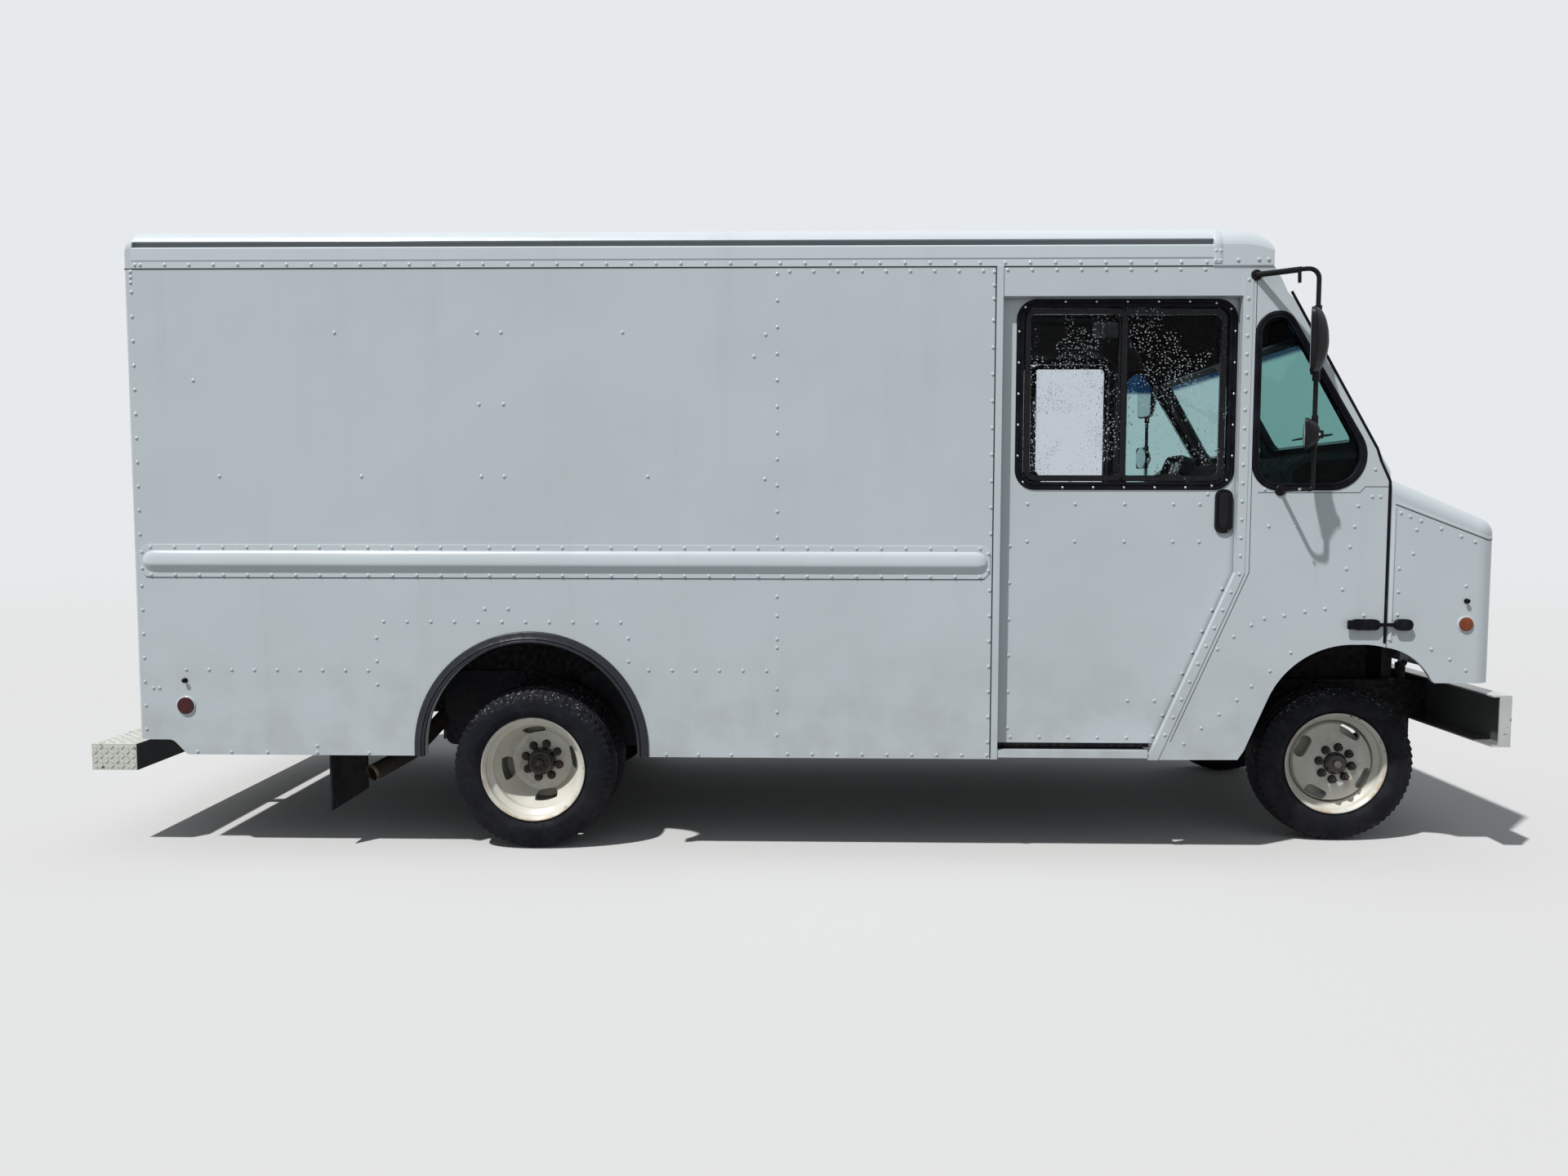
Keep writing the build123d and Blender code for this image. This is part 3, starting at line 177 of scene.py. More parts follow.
def circle(radius, count=24, squash=1.0):
    """Points round a circle: (radius*cos, radius*squash*sin)."""
    angle = np.arange(count) * math.tau / count
    return np.stack([radius * np.cos(angle), radius * squash * np.sin(angle)], -1)


def rounded(corners, radii, steps=7, closed=True):
    """An outline of straight runs whose corners are arcs: each arc is tangent to its two runs."""
    corners = np.asarray(corners, float)
    count = len(corners)
    radii = np.broadcast_to(radii, count)
    pieces = []
    for k in range(count):
        here, before, after = corners[k], corners[k - 1], corners[(k + 1) % count]
        if radii[k] <= 0 or (not closed and k in (0, count - 1)):
            pieces.append(here[None])
            continue
        a = (before - here) / np.linalg.norm(before - here)
        b = (after - here) / np.linalg.norm(after - here)
        half = math.acos(np.clip(a @ b, -1, 1)) / 2
        reach = radii[k] / math.tan(half)
        centre = here + (a + b) / np.linalg.norm(a + b) * radii[k] / math.sin(half)
        start, end = here + a * reach - centre, here + b * reach - centre
        sweep = math.pi - 2 * half
        t = np.linspace(0, 1, steps)[:, None]
        pieces.append(centre + (start * np.sin((1 - t) * sweep) + end * np.sin(t * sweep)) / math.sin(sweep))
    return np.concatenate(pieces)


def round_box(width, height, radius, steps=6):
    """A rounded rectangle about the origin."""
    a, b = width / 2, height / 2
    return rounded([(-a, -b), (a, -b), (a, b), (-a, b)], radius, steps)


def inset(outline, distance):
    """A closed outline moved inward along its normals, whichever way round it runs."""
    along = np.roll(outline, -1, 0) - np.roll(outline, 1, 0)
    normal = np.stack([along[:, 1], -along[:, 0]], -1)
    normal /= np.linalg.norm(normal, axis=1, keepdims=True)
    area = np.sum(outline[:, 0] * np.roll(outline[:, 1], -1) - np.roll(outline[:, 0], -1) * outline[:, 1])
    return outline - normal * distance * np.sign(area)


def plate(outline, steps):
    """A closed slab: rings of the outline, each (inset, height), from its foot to its top."""
    rings = [np.column_stack([inset(outline, i), np.full(len(outline), h)]) for i, h in steps]
    return closed_ends(np.stack(rings))


def turned(profile, centre, side, angles):
    """A solid of revolution about a wheel's axle: (x + r*cos, y + side*across, z + r*sin)."""
    radius, across = np.asarray(profile, float).T[:, :, None]
    x, z = centre[0] + radius * np.cos(angles), centre[2] + radius * np.sin(angles)
    return xyz(x, centre[1] + side * across, z)


def swept(path, section, across, closed=False):
    """A section carried along a path: at each point it lies in the plane of a fixed direction
    and of the direction square to both that and the path."""
    path = np.asarray(path, float)
    if closed:
        along = np.roll(path, -1, 0) - np.roll(path, 1, 0)
    else:
        along = np.gradient(path, axis=0)
    along /= np.linalg.norm(along, axis=1, keepdims=True)
    side = np.cross(along, np.asarray(across, float))
    side /= np.linalg.norm(side, axis=1, keepdims=True)
    up = np.cross(side, along)
    section = np.asarray(section, float)
    points = path[:, None] + section[None, :, :1] * side[:, None] + section[None, :, 1:] * up[:, None]
    if closed:
        return grid(points, wrap_rows=True, wrap_columns=True)
    return closed_ends(points)


def block(low, high, soft=0.004):
    """A slab with softened edges between two corners."""
    low, high = np.minimum(low, high), np.maximum(low, high)
    size = high - low
    soft = min(soft, *(size * 0.45))
    outline = round_box(size[0], size[1], soft * 1.5, 3)
    steps = [(soft, 0), (soft * 0.3, soft * 0.3), (0, soft), (0, size[2] - soft),
             (soft * 0.3, size[2] - soft * 0.3), (soft, size[2])]
    return stamp(plate(outline, steps),
                 [(low[0] + high[0]) / 2 * X + (low[1] + high[1]) / 2 * Y + low[2] * Z])


def placed(mesh, slot, body, finish, replaced, smooth):
    """A mesh as an object of the scene: smooth below an angle in degrees, in its slot's finish
    where no other is given, riding on its body, in place of the construction pieces named."""
    mesh.shade_smooth()
    mesh.set_sharp_from_angle(angle=math.radians(smooth))
    mesh.materials.clear()
    mesh.materials.append(finishes[slot] if finish is None else finish)
    made = bpy.data.objects.new(mesh.name, mesh)
    bpy.context.scene.collection.objects.link(made)
    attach(made, body)
    if replaced:
        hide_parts(*replaced)
    return made


def build(name, patch, slot, body="body", finish=None, replaced=(), smooth=35):
    """An object made of a patch, its doubles merged and its faces turned outward."""
    mesh = bpy.data.meshes.new(name)
    mesh.from_pydata(patch.points.tolist(), [], patch.quads.tolist())
    work = bmesh.new()
    work.from_mesh(mesh)
    bmesh.ops.remove_doubles(work, verts=work.verts, dist=2e-6)
    bmesh.ops.recalc_face_normals(work, faces=work.faces)
    work.to_mesh(mesh)
    work.free()
    return placed(mesh, slot, body, finish, replaced, smooth)


def coordinates(mesh):
    """A mesh's points as an array."""
    points = np.empty(len(mesh.vertices) * 3)
    mesh.vertices.foreach_get("co", points)
    return points.reshape(-1, 3)


def outward(side):
    """Sketch axes on a side of the van: forward, up and outward."""
    return X, Z, side * Y


def on_side(side, y, x, z):
    """Points on a plane beside the van, from arrays of x and z."""
    return xyz(np.asarray(x, float), side * y, np.asarray(z, float)).reshape(-1, 3)


# Finishes


def add_node(tree, kind, inputs=None, **settings):
    """Add a node to a tree; an input takes a number, a colour or another node's output."""
    made = tree.nodes.new("ShaderNode" + kind)
    for key, value in settings.items():
        setattr(made, key, value)
    for key, value in (inputs or {}).items():
        if isinstance(value, bpy.types.NodeSocket):
            tree.links.new(value, made.inputs[key])
        else:
            made.inputs[key].default_value = value
    return made


class Finish:
    """A material in the making. Patterns read Object coordinates, so they stay on the metal."""

    coat_roughness = 0.12

    def __init__(self, name, colour, roughness, metallic=0.0, coat=0.0, transmission=0.0, ior=1.45,
                 gleam=0.5):
        self.material = bpy.data.materials.new(name)
        self.material.use_nodes = True
        self.tree = self.material.node_tree
        self.shader = self.tree.nodes["Principled BSDF"]
        values = {
            "Base Color": (*colour, 1), "Roughness": roughness, "Metallic": metallic, "Coat Weight": coat,
            "Coat Roughness": self.coat_roughness, "Transmission Weight": transmission, "IOR": ior,
            "Specular IOR Level": gleam,
        }
        for key, value in values.items():
            self.shader.inputs[key].default_value = value
        self.where = self.node("TexCoord").outputs["Object"]
        self.colour = (*colour, 1)
        self.normal = None

    def node(self, kind, inputs=None, **settings):
        """Add a node to this material."""
        return add_node(self.tree, kind, inputs, **settings)

    def noise(self, scale, detail=4.0, stretch=(1, 1, 1), rough=0.55):
        """Fractal noise between 0 and 1, drawn out along an axis by a small stretch value."""
        place = self.node("Mapping", {"Vector": self.where, "Scale": stretch}).outputs[0]
        return self.node("TexNoise", {"Vector": place, "Scale": scale, "Detail": detail,
                                      "Roughness": rough}).outputs[0]

    def cells(self, scale, stretch=(1, 1, 1)):
        """Distance to the nearest of scattered points."""
        place = self.node("Mapping", {"Vector": self.where, "Scale": stretch}).outputs[0]
        return self.node("TexVoronoi", {"Vector": place, "Scale": scale}).outputs["Distance"]

    def ramp(self, value, low, high, to_low=0.0, to_high=1.0):
        """A value taken from one range to another, held at the ends."""
        inputs = {0: value, 1: low, 2: high, 3: to_low, 4: to_high}
        return self.node("MapRange", inputs, interpolation_type="SMOOTHSTEP").outputs[0]

    def times(self, a, b):
        """Two values multiplied."""
        return self.node("Math", {0: a, 1: b}, operation="MULTIPLY").outputs[0]

    def axis(self, letter):
        """One coordinate of the point."""
        return self.node("SeparateXYZ", {0: self.where}).outputs["XYZ".index(letter)]

    def distance(self, centre):
        """How far the point is from a wheel's axle, measured in the plane of X and Z."""
        offset = self.node("VectorMath", {0: self.where, 1: centre}, operation="SUBTRACT").outputs[0]
        flat = self.node("VectorMath", {0: offset, 1: (1, 0, 1)}, operation="MULTIPLY").outputs[0]
        return self.node("VectorMath", {0: flat}, operation="LENGTH").outputs["Value"]

    def sum(self, *terms):
        """Coordinates added up, each a (letter, factor) pair; |Y| is the distance from the middle."""
        total = 0.0
        for letter, factor in terms:
            value = self.axis(letter.strip("|"))
            if "|" in letter:
                value = self.node("Math", {0: value}, operation="ABSOLUTE").outputs[0]
            total = self.node("Math", {0: value, 1: factor, 2: total}, operation="MULTIPLY_ADD").outputs[0]
        return total

    def where_all(self, *limits, fade=0.003):
        """1 where every value is below (or, with a minus factor, above) its limit, else 0."""
        mask = None
        for terms, limit in limits:
            part = self.ramp(self.sum(*terms), limit - fade, limit + fade, 1.0, 0.0)
            mask = part if mask is None else self.times(mask, part)
        return mask

    def tint(self, mask, colour, strength=1.0):
        """Lay a second colour over the first where the mask is high."""
        factor = mask if strength == 1.0 else self.times(mask, strength)
        mixer = self.node("Mix", {"Factor": factor, 6: self.colour, 7: (*colour, 1)}, data_type="RGBA")
        self.colour = mixer.outputs[2]
        self.tree.links.new(self.colour, self.shader.inputs["Base Color"])

    def rough(self, value):
        """Let a value set the roughness."""
        self.tree.links.new(value, self.shader.inputs["Roughness"])

    def uneven(self, roughness, scale, detail, most=1.3):
        """Let the roughness wander from 0.8 times its value up to `most` times."""
        wander = self.ramp(self.noise(scale, detail), 0.3, 0.7, roughness * 0.8, min(1.0, roughness * most))
        self.rough(wander)

    def bump(self, height, distance, strength=1.0):
        """Raise the surface by a height, in metres, on top of earlier bumps."""
        inputs = {"Height": height, "Distance": distance, "Strength": strength}
        if self.normal:
            inputs["Normal"] = self.normal
        self.normal = self.node("Bump", inputs).outputs[0]
        self.tree.links.new(self.normal, self.shader.inputs["Normal"])


def dusty(finish, top=1.25, foot=0.35, strength=0.55):
    """Road dust that thickens towards the ground, broken up by noise."""
    paint = bpy.context.scene.van_paint
    height = finish.ramp(finish.axis("Z"), foot, top, 1.0, 0.0)
    speckle = finish.ramp(finish.noise(5.0, 9.0), 0.35, 0.75)
    finish.tint(finish.times(height, speckle), paint.dust, strength)


def enamel(name, colour, roughness=None, dust=0.35, chips=0.0, waves=1.0, unlit=(), shaded=()):
    """Gloss paint on sheet metal: panels that bulge a little, faint rain streaks, dust low down,
    and, where asked, chips down to rusty steel, near-black painted shade on the faces inside limits,
    and dark grey painted shade in the groove between limits."""
    paint = bpy.context.scene.van_paint
    roughness = paint.roughness if roughness is None else roughness
    finish = Finish(name, colour, roughness, coat=0.35)
    cloud = finish.ramp(finish.noise(1.3, 5.0), 0.3, 0.7)
    finish.tint(cloud, [c * 0.94 for c in colour], 0.8)
    streak = finish.ramp(finish.noise(9.0, 6.0, (1.0, 1.0, 0.05)), 0.52, 0.78)
    finish.tint(streak, [c * 0.80 for c in colour], 0.22)
    dusty(finish, strength=dust)
    specks = finish.ramp(finish.cells(34.0), 0.03, 0.07, 1.0, 0.0)
    sparse = finish.ramp(finish.noise(2.1, 2.0), 0.56, 0.62)
    finish.tint(finish.times(specks, sparse), (0.20, 0.16, 0.12), 0.5)
    if chips:
        flake = finish.ramp(finish.noise(38.0, 8.0, rough=0.62), 0.66 - 0.10 * chips, 0.68 - 0.10 * chips)
        finish.tint(flake, (0.075, 0.055, 0.040))
        finish.bump(flake, -0.0006)
    # Painted shade: faces inside the limits go near black, and the groove under the roof's lip goes dark grey.
    if unlit:
        finish.tint(finish.where_all(*unlit), (0.012, 0.014, 0.018), 0.985)
    if shaded:
        finish.tint(finish.where_all(*shaded, fade=0.005), (0.085, 0.098, 0.112), 0.9)
    finish.rough(finish.ramp(finish.noise(3.0, 6.0), 0.3, 0.75, roughness * 0.85, roughness * 1.35))
    finish.bump(finish.noise(1.7, 1.5), paint.waviness * 8 * waves, 0.8)
    finish.bump(finish.noise(420.0, 2.0), 0.0002, 0.12)
    return finish.material


def rubber(name, colour=(0.009, 0.010, 0.014), roughness=0.55, dust=0.25, gleam=0.25, wheel=None):
    """Black rubber: greyed by age, with a fine grain. A tyre also has pale specks and a worn,
    dusty tread round its wheel's centre."""
    finish = Finish(name, colour, roughness, gleam=gleam)
    finish.tint(finish.ramp(finish.noise(14.0, 7.0), 0.4, 0.75), (0.020, 0.023, 0.031), 0.5)
    dusty(finish, 0.9, 0.1, dust)
    if wheel:
        reach = finish.distance(wheel)
        finish.tint(finish.ramp(reach, 0.380, 0.392), (0.030, 0.030, 0.034), 0.6)
        spots = finish.ramp(finish.noise(75.0, 4.0, rough=0.7), 0.595, 0.64)
        band = finish.times(finish.ramp(reach, 0.330, 0.372), finish.ramp(finish.axis("Z"), 0.56, 0.72))
        finish.tint(finish.times(spots, band), (0.36, 0.38, 0.41), 0.85)
    finish.uneven(roughness, 30.0, 5.0)
    finish.bump(finish.noise(900.0, 3.0), 0.0003, 0.3)
    return finish.material


def metal(name, colour, roughness=0.4, metallic=1.0, rust=0.0, dust=0.3):
    """Bare, cast or galvanized metal with rust and dust in patches."""
    finish = Finish(name, colour, roughness, metallic=metallic, gleam=0.4)
    finish.tint(finish.ramp(finish.noise(24.0, 8.0), 0.35, 0.7), [c * 0.6 for c in colour], 0.7)
    if rust:
        patches = finish.ramp(finish.noise(17.0, 9.0, rough=0.65), 0.62 - 0.2 * rust, 0.7 - 0.2 * rust)
        finish.tint(patches, (0.10, 0.042, 0.018), 0.85)
    dusty(finish, 1.0, 0.1, dust)
    finish.uneven(roughness, 40.0, 6.0, 1.5)
    finish.bump(finish.noise(260.0, 5.0), 0.0006, 0.35)
    return finish.material


def plastic(name, colour, roughness=0.45, grain=1.0, coat=0.0):
    """Moulded plastic with a fine grain and scuffs."""
    finish = Finish(name, colour, roughness, coat=coat, gleam=0.2)
    finish.tint(finish.ramp(finish.noise(10.0, 6.0), 0.35, 0.75),
                [min(1.0, c * 1.6 + 0.003) for c in colour], 0.5)
    finish.uneven(roughness, 26.0, 5.0)
    finish.bump(finish.cells(520.0), 0.0003 * grain, 0.35)
    return finish.material


def lens(name, colour, ribs=140.0):
    """A coloured lens: clear plastic over fine prisms, darker where dirt has got in."""
    finish = Finish(name, colour, 0.14, coat=0.2, gleam=0.3)
    finish.tint(finish.ramp(finish.noise(30.0, 5.0), 0.45, 0.8), [c * 0.45 for c in colour], 0.6)
    finish.bump(finish.cells(ribs), 0.0015, 0.5)
    return finish.material


def pane(name, colour, band=None, wet=False):
    """Glass tinted through its body, with a dark top band or, where wet, with runs and drops of water
    whose glints are painted as pale, less clear spots.
    """
    finish = Finish(name, colour, 0.0, transmission=1.0, ior=1.12)
    if band:
        low, high, shade = band
        finish.tint(finish.ramp(finish.axis("Z"), low, high), shade)
    if wet:
        drops = finish.ramp(finish.cells(55.0, (1, 1, 0.55)), 0.10, 0.22, 1.0, 0.0)
        runs = finish.ramp(finish.noise(34.0, 5.0, (1, 1, 0.06)), 0.50, 0.62)
        finish.bump(finish.times(drops, runs), 0.002, 0.5)
        finish.rough(finish.times(runs, 0.10))
        # Painted highlights: pale, less clear spots where drops of water catch the light.
        bead_glints = finish.ramp(finish.cells(70.0), 0.17, 0.22, 1.0, 0.0)
        bead_glints = finish.times(bead_glints, finish.ramp(finish.noise(5.0, 4.0), 0.52, 0.58))
        finish.tint(bead_glints, (0.50, 0.54, 0.58))
        clear = finish.node("Math", {0: 1.0, 1: bead_glints}, operation="SUBTRACT").outputs[0]
        finish.tree.links.new(clear, finish.shader.inputs["Transmission Weight"])
    return finish.material


def rim_paint(name, centre, hub_radius):
    """Wheel paint: cream where it has yellowed, a black hub, a flange chipped down to rust."""
    paint = bpy.context.scene.van_paint
    finish = Finish(name, paint.rim, 0.38, coat=0.2)
    reach = finish.distance(centre)
    finish.tint(finish.ramp(finish.noise(6.0, 6.0), 0.35, 0.7), (0.50, 0.46, 0.36), 0.45)
    rusty = finish.ramp(finish.noise(11.0, 8.0, rough=0.6), 0.50, 0.60)
    edge = finish.ramp(reach, 0.236, 0.250)
    finish.tint(finish.times(rusty, edge), (0.46, 0.35, 0.22), 0.75)
    chips = finish.ramp(finish.noise(26.0, 8.0, rough=0.6), 0.63, 0.66)
    finish.tint(finish.times(chips, edge), (0.06, 0.035, 0.022))
    inner = finish.ramp(reach, 0.10, 0.175, 1.0, 0.0)
    stains = finish.ramp(finish.noise(13.0, 6.0), 0.45, 0.75)
    finish.tint(finish.times(stains, inner), (0.20, 0.13, 0.085), 0.55)
    finish.tint(finish.ramp(reach, hub_radius, hub_radius + 0.004, 1.0, 0.0), (0.028, 0.022, 0.020))
    finish.bump(finish.noise(160.0, 5.0), 0.0007, 0.4)
    return finish.material


finishes = {}

# Limits of the faces that look inward, which enamel paints near black as shade:
# terms (coordinate, factor) whose sum stays below a value
inside_walls = (
    ((("|Y|", 1.0),), 1.154),  # side walls
    ((("|Y|", 0.035), ("Z", 1.0)), 3.005),  # crowned roof
    ((("X", -1.0),), 3.123),  # rear frame
    ((("X", slope_out[0]), ("Z", slope_out[2])), 3.3397),  # windshield wall
)
inside_doors = (((("|Y|", 1.0),), 1.120),)
inside_nose = (
    ((("|Y|", 1.0),), 1.1665),  # sides
    ((("X", 0.395), ("Z", 0.9187)), 2.777),  # sloped top
    ((("X", 1.0),), 3.240),  # front face
)
inside_cap = (
    inside_walls[0], inside_walls[1],
    ((("X", 1.0),), 2.205),  # front face
    ((("|Y|", 0.035), ("Z", 1.0), ("X", 0.36)), 3.722),  # sloped brow
)
# Painted shade: the groove under the roof's lip is painted dark grey between these limits.
drip_groove = (((("|Y|", 1.0),), 1.1795), ((("Z", 1.0),), 2.934), ((("Z", -1.0),), -2.9085))
# Painted shade: the rear step's front face is painted near black.
step_front = (((("X", -1.0),), 3.2135),)
# Painted shade: the front bumper's inner faces are painted near black.
inside_bumper = (
    ((("|Y|", 1.0),), 1.181),  # ends
    ((("X", 1.0),), 3.4285),  # face
    ((("Z", 1.0),), 0.7885),  # upper edge
    ((("Z", -1.0),), -0.5565),  # lower edge
)


class VAN_OT_finishes(bpy.types.Operator):
    """Give every construction piece its own finish"""

    bl_idname = "van.finishes"
    bl_label = "Finishes"

    def execute(self, context):
        body = tuple(context.scene.van_paint.body)

        def shade(factor):
            """The body's paint, a little lighter or darker."""
            return tuple(c * factor for c in body)

        finishes.update({
            "chassis_black": metal("chassis paint", (0.007, 0.007, 0.009), 0.7, 0.0, rust=0.04, dust=0.06),
            "engine_grey": metal("cast iron", (0.035, 0.035, 0.038), 0.7, 0.3, rust=0.2),
            "radiator_black": metal("radiator core", (0.05, 0.05, 0.055), 0.5, 0.5),
            "tank_steel": metal("tank paint", (0.010, 0.010, 0.012), 0.55, 0.1, rust=0.03, dust=0.10),
            "exhaust_steel": metal("weathered exhaust", (0.045, 0.038, 0.032), 0.7, 0.2, rust=0.12,
                                   dust=0.05),
            "flap_rubber": rubber("mudflap rubber", dust=0.2),
            # Near black as painted shade, so the wheel boxes inside the arches look dark; its rust and dust
            # patches are real.
            "deck_grey": metal("worn deck", (0.012, 0.013, 0.016), 0.7, 0.1, rust=0.02, dust=0.05),
            "body_white": enamel("body paint", body, unlit=inside_walls),
            "rail_white": enamel("rail paint", shade(1.04), 0.26, waves=0.2),
            "flare_rubber": rubber("flare rubber", (0.006, 0.008, 0.015), 0.27, dust=0.02, gleam=0.5),
            "roof_white": enamel("roof paint", shade(1.10), 0.36, waves=0.3, unlit=inside_walls,
                                 shaded=drip_groove),
            "cap_white": enamel("cap paint", shade(1.05), 0.30, waves=0.3, unlit=inside_cap),
            "rear_door_white": enamel("slat paint", shade(0.97), 0.42, waves=0.2),
            # The step's front face and the bumper's inner faces are painted near black as shade.
            "step_white": enamel("step paint", (0.64, 0.66, 0.61), 0.5, dust=0.25, chips=0.25, waves=0,
                                 unlit=step_front),
            "bumper_white": enamel("bumper paint", (0.58, 0.60, 0.60), 0.45, dust=0.5, chips=0.25, waves=0,
                                   unlit=inside_bumper),
            "gasket_rubber": rubber("gasket rubber", (0.004, 0.004, 0.007), 0.38, 0.0, 0.10),
            "tinted_glass": pane("green glass", (0.42, 0.62, 0.60), band=(2.43, 2.455, (0.01, 0.045, 0.11))),
            "door_glass": pane("door glass", (0.80, 0.83, 0.86), wet=True),
            "liner_grey": metal("liner", (0.012, 0.013, 0.017), 0.7, 0.0, dust=0.03),
            "dash_black": plastic("dash plastic", (0.008, 0.009, 0.012), 0.6),
            "seat_black": plastic("seat vinyl", (0.020, 0.022, 0.028), 0.42, grain=2.5),
            "mirror_black": plastic("mirror plastic", (0.004, 0.004, 0.005), 0.38, 0.5),
            "red_lens": lens("red lens", (0.055, 0.003, 0.006)),
            "amber_lens": lens("amber lens", (0.22, 0.045, 0.009)),
            "clear_lens": lens("clear lens", (0.55, 0.58, 0.60), 60.0),
            "nose_white": enamel("nose paint", body, 0.30, waves=0.4, unlit=inside_nose),
            "grille_black": plastic("grille plastic", (0.018, 0.018, 0.020), 0.5),
            "door_white": enamel("door paint", shade(0.99), unlit=inside_doors),
            "rim_white": rim_paint("wheel paint, rear", (axle_rear, 0, wheel_z), 0.066),
            "tyre_black": rubber("tyre rubber", (0.006, 0.0065, 0.010), 0.6, 0.03, 0.15,
                                 (axle_rear, 0, wheel_z)),
            # The body's paint lightened by a tenth: a painted highlight, so the rings round the side markers look
            # pale.
            "lamp_foot": enamel("lamp rim paint", shade(1.1), 0.3, dust=0.1, waves=0),
            # Dark strips at the joints: sealer, and painted shade for the shadow in the gaps between panels.
            "seam_dark": plastic("joint sealer", (0.030, 0.036, 0.042), 0.6),
            "zinc": metal("zinc fittings", (0.42, 0.42, 0.42), 0.4, rust=0.05, dust=0.2),
            "chrome": metal("lamp metal", (0.72, 0.73, 0.74), 0.16, dust=0.05),
            "lamp_silver": metal("lamp bowl", (0.66, 0.67, 0.69), 0.34, dust=0.0),
            "burnt_tan": metal("burnt pipe", (0.34, 0.26, 0.18), 0.6, 0.3, rust=0.25, dust=0.0),
            "lamp_glass": pane("headlamp glass", (0.93, 0.95, 0.96)),
            "plate_blank": enamel("blank plate", (0.70, 0.70, 0.68), 0.4, dust=0.2, waves=0),
            # Near black, for soot and for the painted shade at the pipe's closed end.
            "soot": metal("soot", (0.006, 0.006, 0.006), 0.95, 0.0, dust=0.0),
        })
        front_rim = rim_paint("wheel paint, front", (axle_front, 0, wheel_z), 0.056)
        slots = {part["node"]: part["material_slot"] for part in frame["record"]["subparts"]}
        for name, node in nodes.items():
            finish = front_rim if name.startswith("front_rim") else finishes[slots[name]]
            node.data.materials.clear()
            node.data.materials.append(finish)
        return {"FINISHED"}


# Rivets


def rear(*values):
    """Distances forward of the rear axle, as x coordinates."""
    return axle_rear + np.asarray(values, float)


def row(start, end, pitch):
    """Places along a line, at the nearest pitch that fills it."""
    return np.linspace(start, end, max(2, round(abs(end - start) / pitch) + 1))


def rivet_head():
    """A low dome of 8 sides: rings at 38, 80 and 100 % of its height, closed below."""
    size = bpy.context.scene.van_rivets
    r, h = size.radius, size.height
    return plate(circle(r, 8), [(0, -0.001), (0, h * 0.38), (r * 0.32, h * 0.80), (r * 0.74, h)])


def side_rivets(pitch):
    """Rivets of the body's side as rows of (x, z, how far the metal stands out from the wall)."""
    wall = [  # (x, z) in rows over the side panels
        (rear(*row(-1.67, -0.78, pitch)), 0.893),
        (rear(*row(-0.70, 0.448, pitch)), 1.131),
        (rear(*row(0.581, 1.150, pitch)), 0.900),
        (rear(-0.208, -0.095), 1.194),
        (rear(-1.627, -1.46, -1.282, -1.038, -0.784, 0.665, 0.82, 0.98), 0.490),
        (rear(*row(1.25, 2.21, pitch)), 0.496),
        (rear(-1.038), 0.522),
        (rear(-1.834, -1.805), 0.803),
        (rear(-1.591), 2.284),
        (rear(-0.905, -0.223, -0.110, 0.468), 2.508),
        (rear(-0.220, -0.103), 2.171),
        (rear(-1.479, -0.791, -0.214, -0.104, 0.583), 1.829),
        (rear(1.145), 2.496),
        (rear(1.090), 2.395),
        (rear(1.141), 1.818),
        (rear(*row(1.257, 2.164, pitch)), 2.789),
    ]
    columns = [  # (x, z) in columns
        (rear(-1.874), row(0.60, 1.300, pitch)),
        (rear(-1.874), row(1.55, 2.70, pitch)),
        (rear(-1.876), row(2.745, 2.795, 0.025)),
        (rear(-0.736), row(0.825, 1.053, pitch)),
        (rear(0.484), np.array([0.942, 1.054])),
        (rear(1.200), row(1.54, 2.779, pitch)),
        (rear(1.200), np.array([0.588, 0.70, 0.812, 1.012, 1.053, 1.165, 1.258])),
        (rear(2.213), row(0.56, 1.29, pitch)),
        (rear(2.215), row(1.56, 2.56, pitch)),
        (rear(2.216), row(2.66, 2.785, 0.05)),
    ]
    flange = [
        (rear(*row(-1.825, 3.20, pitch)), 2.826),
        (rear(-1.851), 2.826),
    ]
    rail = [
        (rear(*row(-1.823, 2.165, pitch)), 1.4885),
        (rear(*row(-1.823, 2.165, pitch)), 1.3545),
        (rear(-1.866, 2.205), 1.465),
        (rear(-1.866, 2.205), 1.385),
    ]
    header = [(rear(*row(2.278, 3.196, pitch)), 2.793)]
    for group, proud in ((wall, 0.0), (columns, 0.0), (flange, 0.004), (rail, 0.004), (header, 0.0)):
        for x, z in group:
            yield x, z, proud
    strip = np.array([(3.398, 2.745), (3.392, 1.379), (3.041, 0.560)])
    for z in row(0.60, 2.745, 0.0875):
        x = np.interp(z, strip[::-1, 1], strip[::-1, 0])
        yield rear(x), z, 0.004
    cab = [
        (3.523, 1.599), (3.654, 1.599), (4.012, 1.866), (3.939, 1.695), (3.925, 1.597), (3.906, 1.502),
        (3.892, 1.398), (3.878, 1.300), (4.002, 1.738), (4.041, 1.738), (3.982, 1.176), (3.799, 1.208),
        (3.704, 1.194), (3.608, 1.175), (3.515, 1.161), (3.455, 1.129), (3.373, 1.074), (3.298, 1.014),
        (3.644, 0.998), (3.549, 0.910), (3.463, 0.836), (3.396, 0.770), (3.313, 0.700), (3.231, 0.633),
        (3.150, 0.557), (3.500, 1.772), (3.960, 1.900),
    ]
    for x, z in cab:
        yield rear(x), z, 0.0


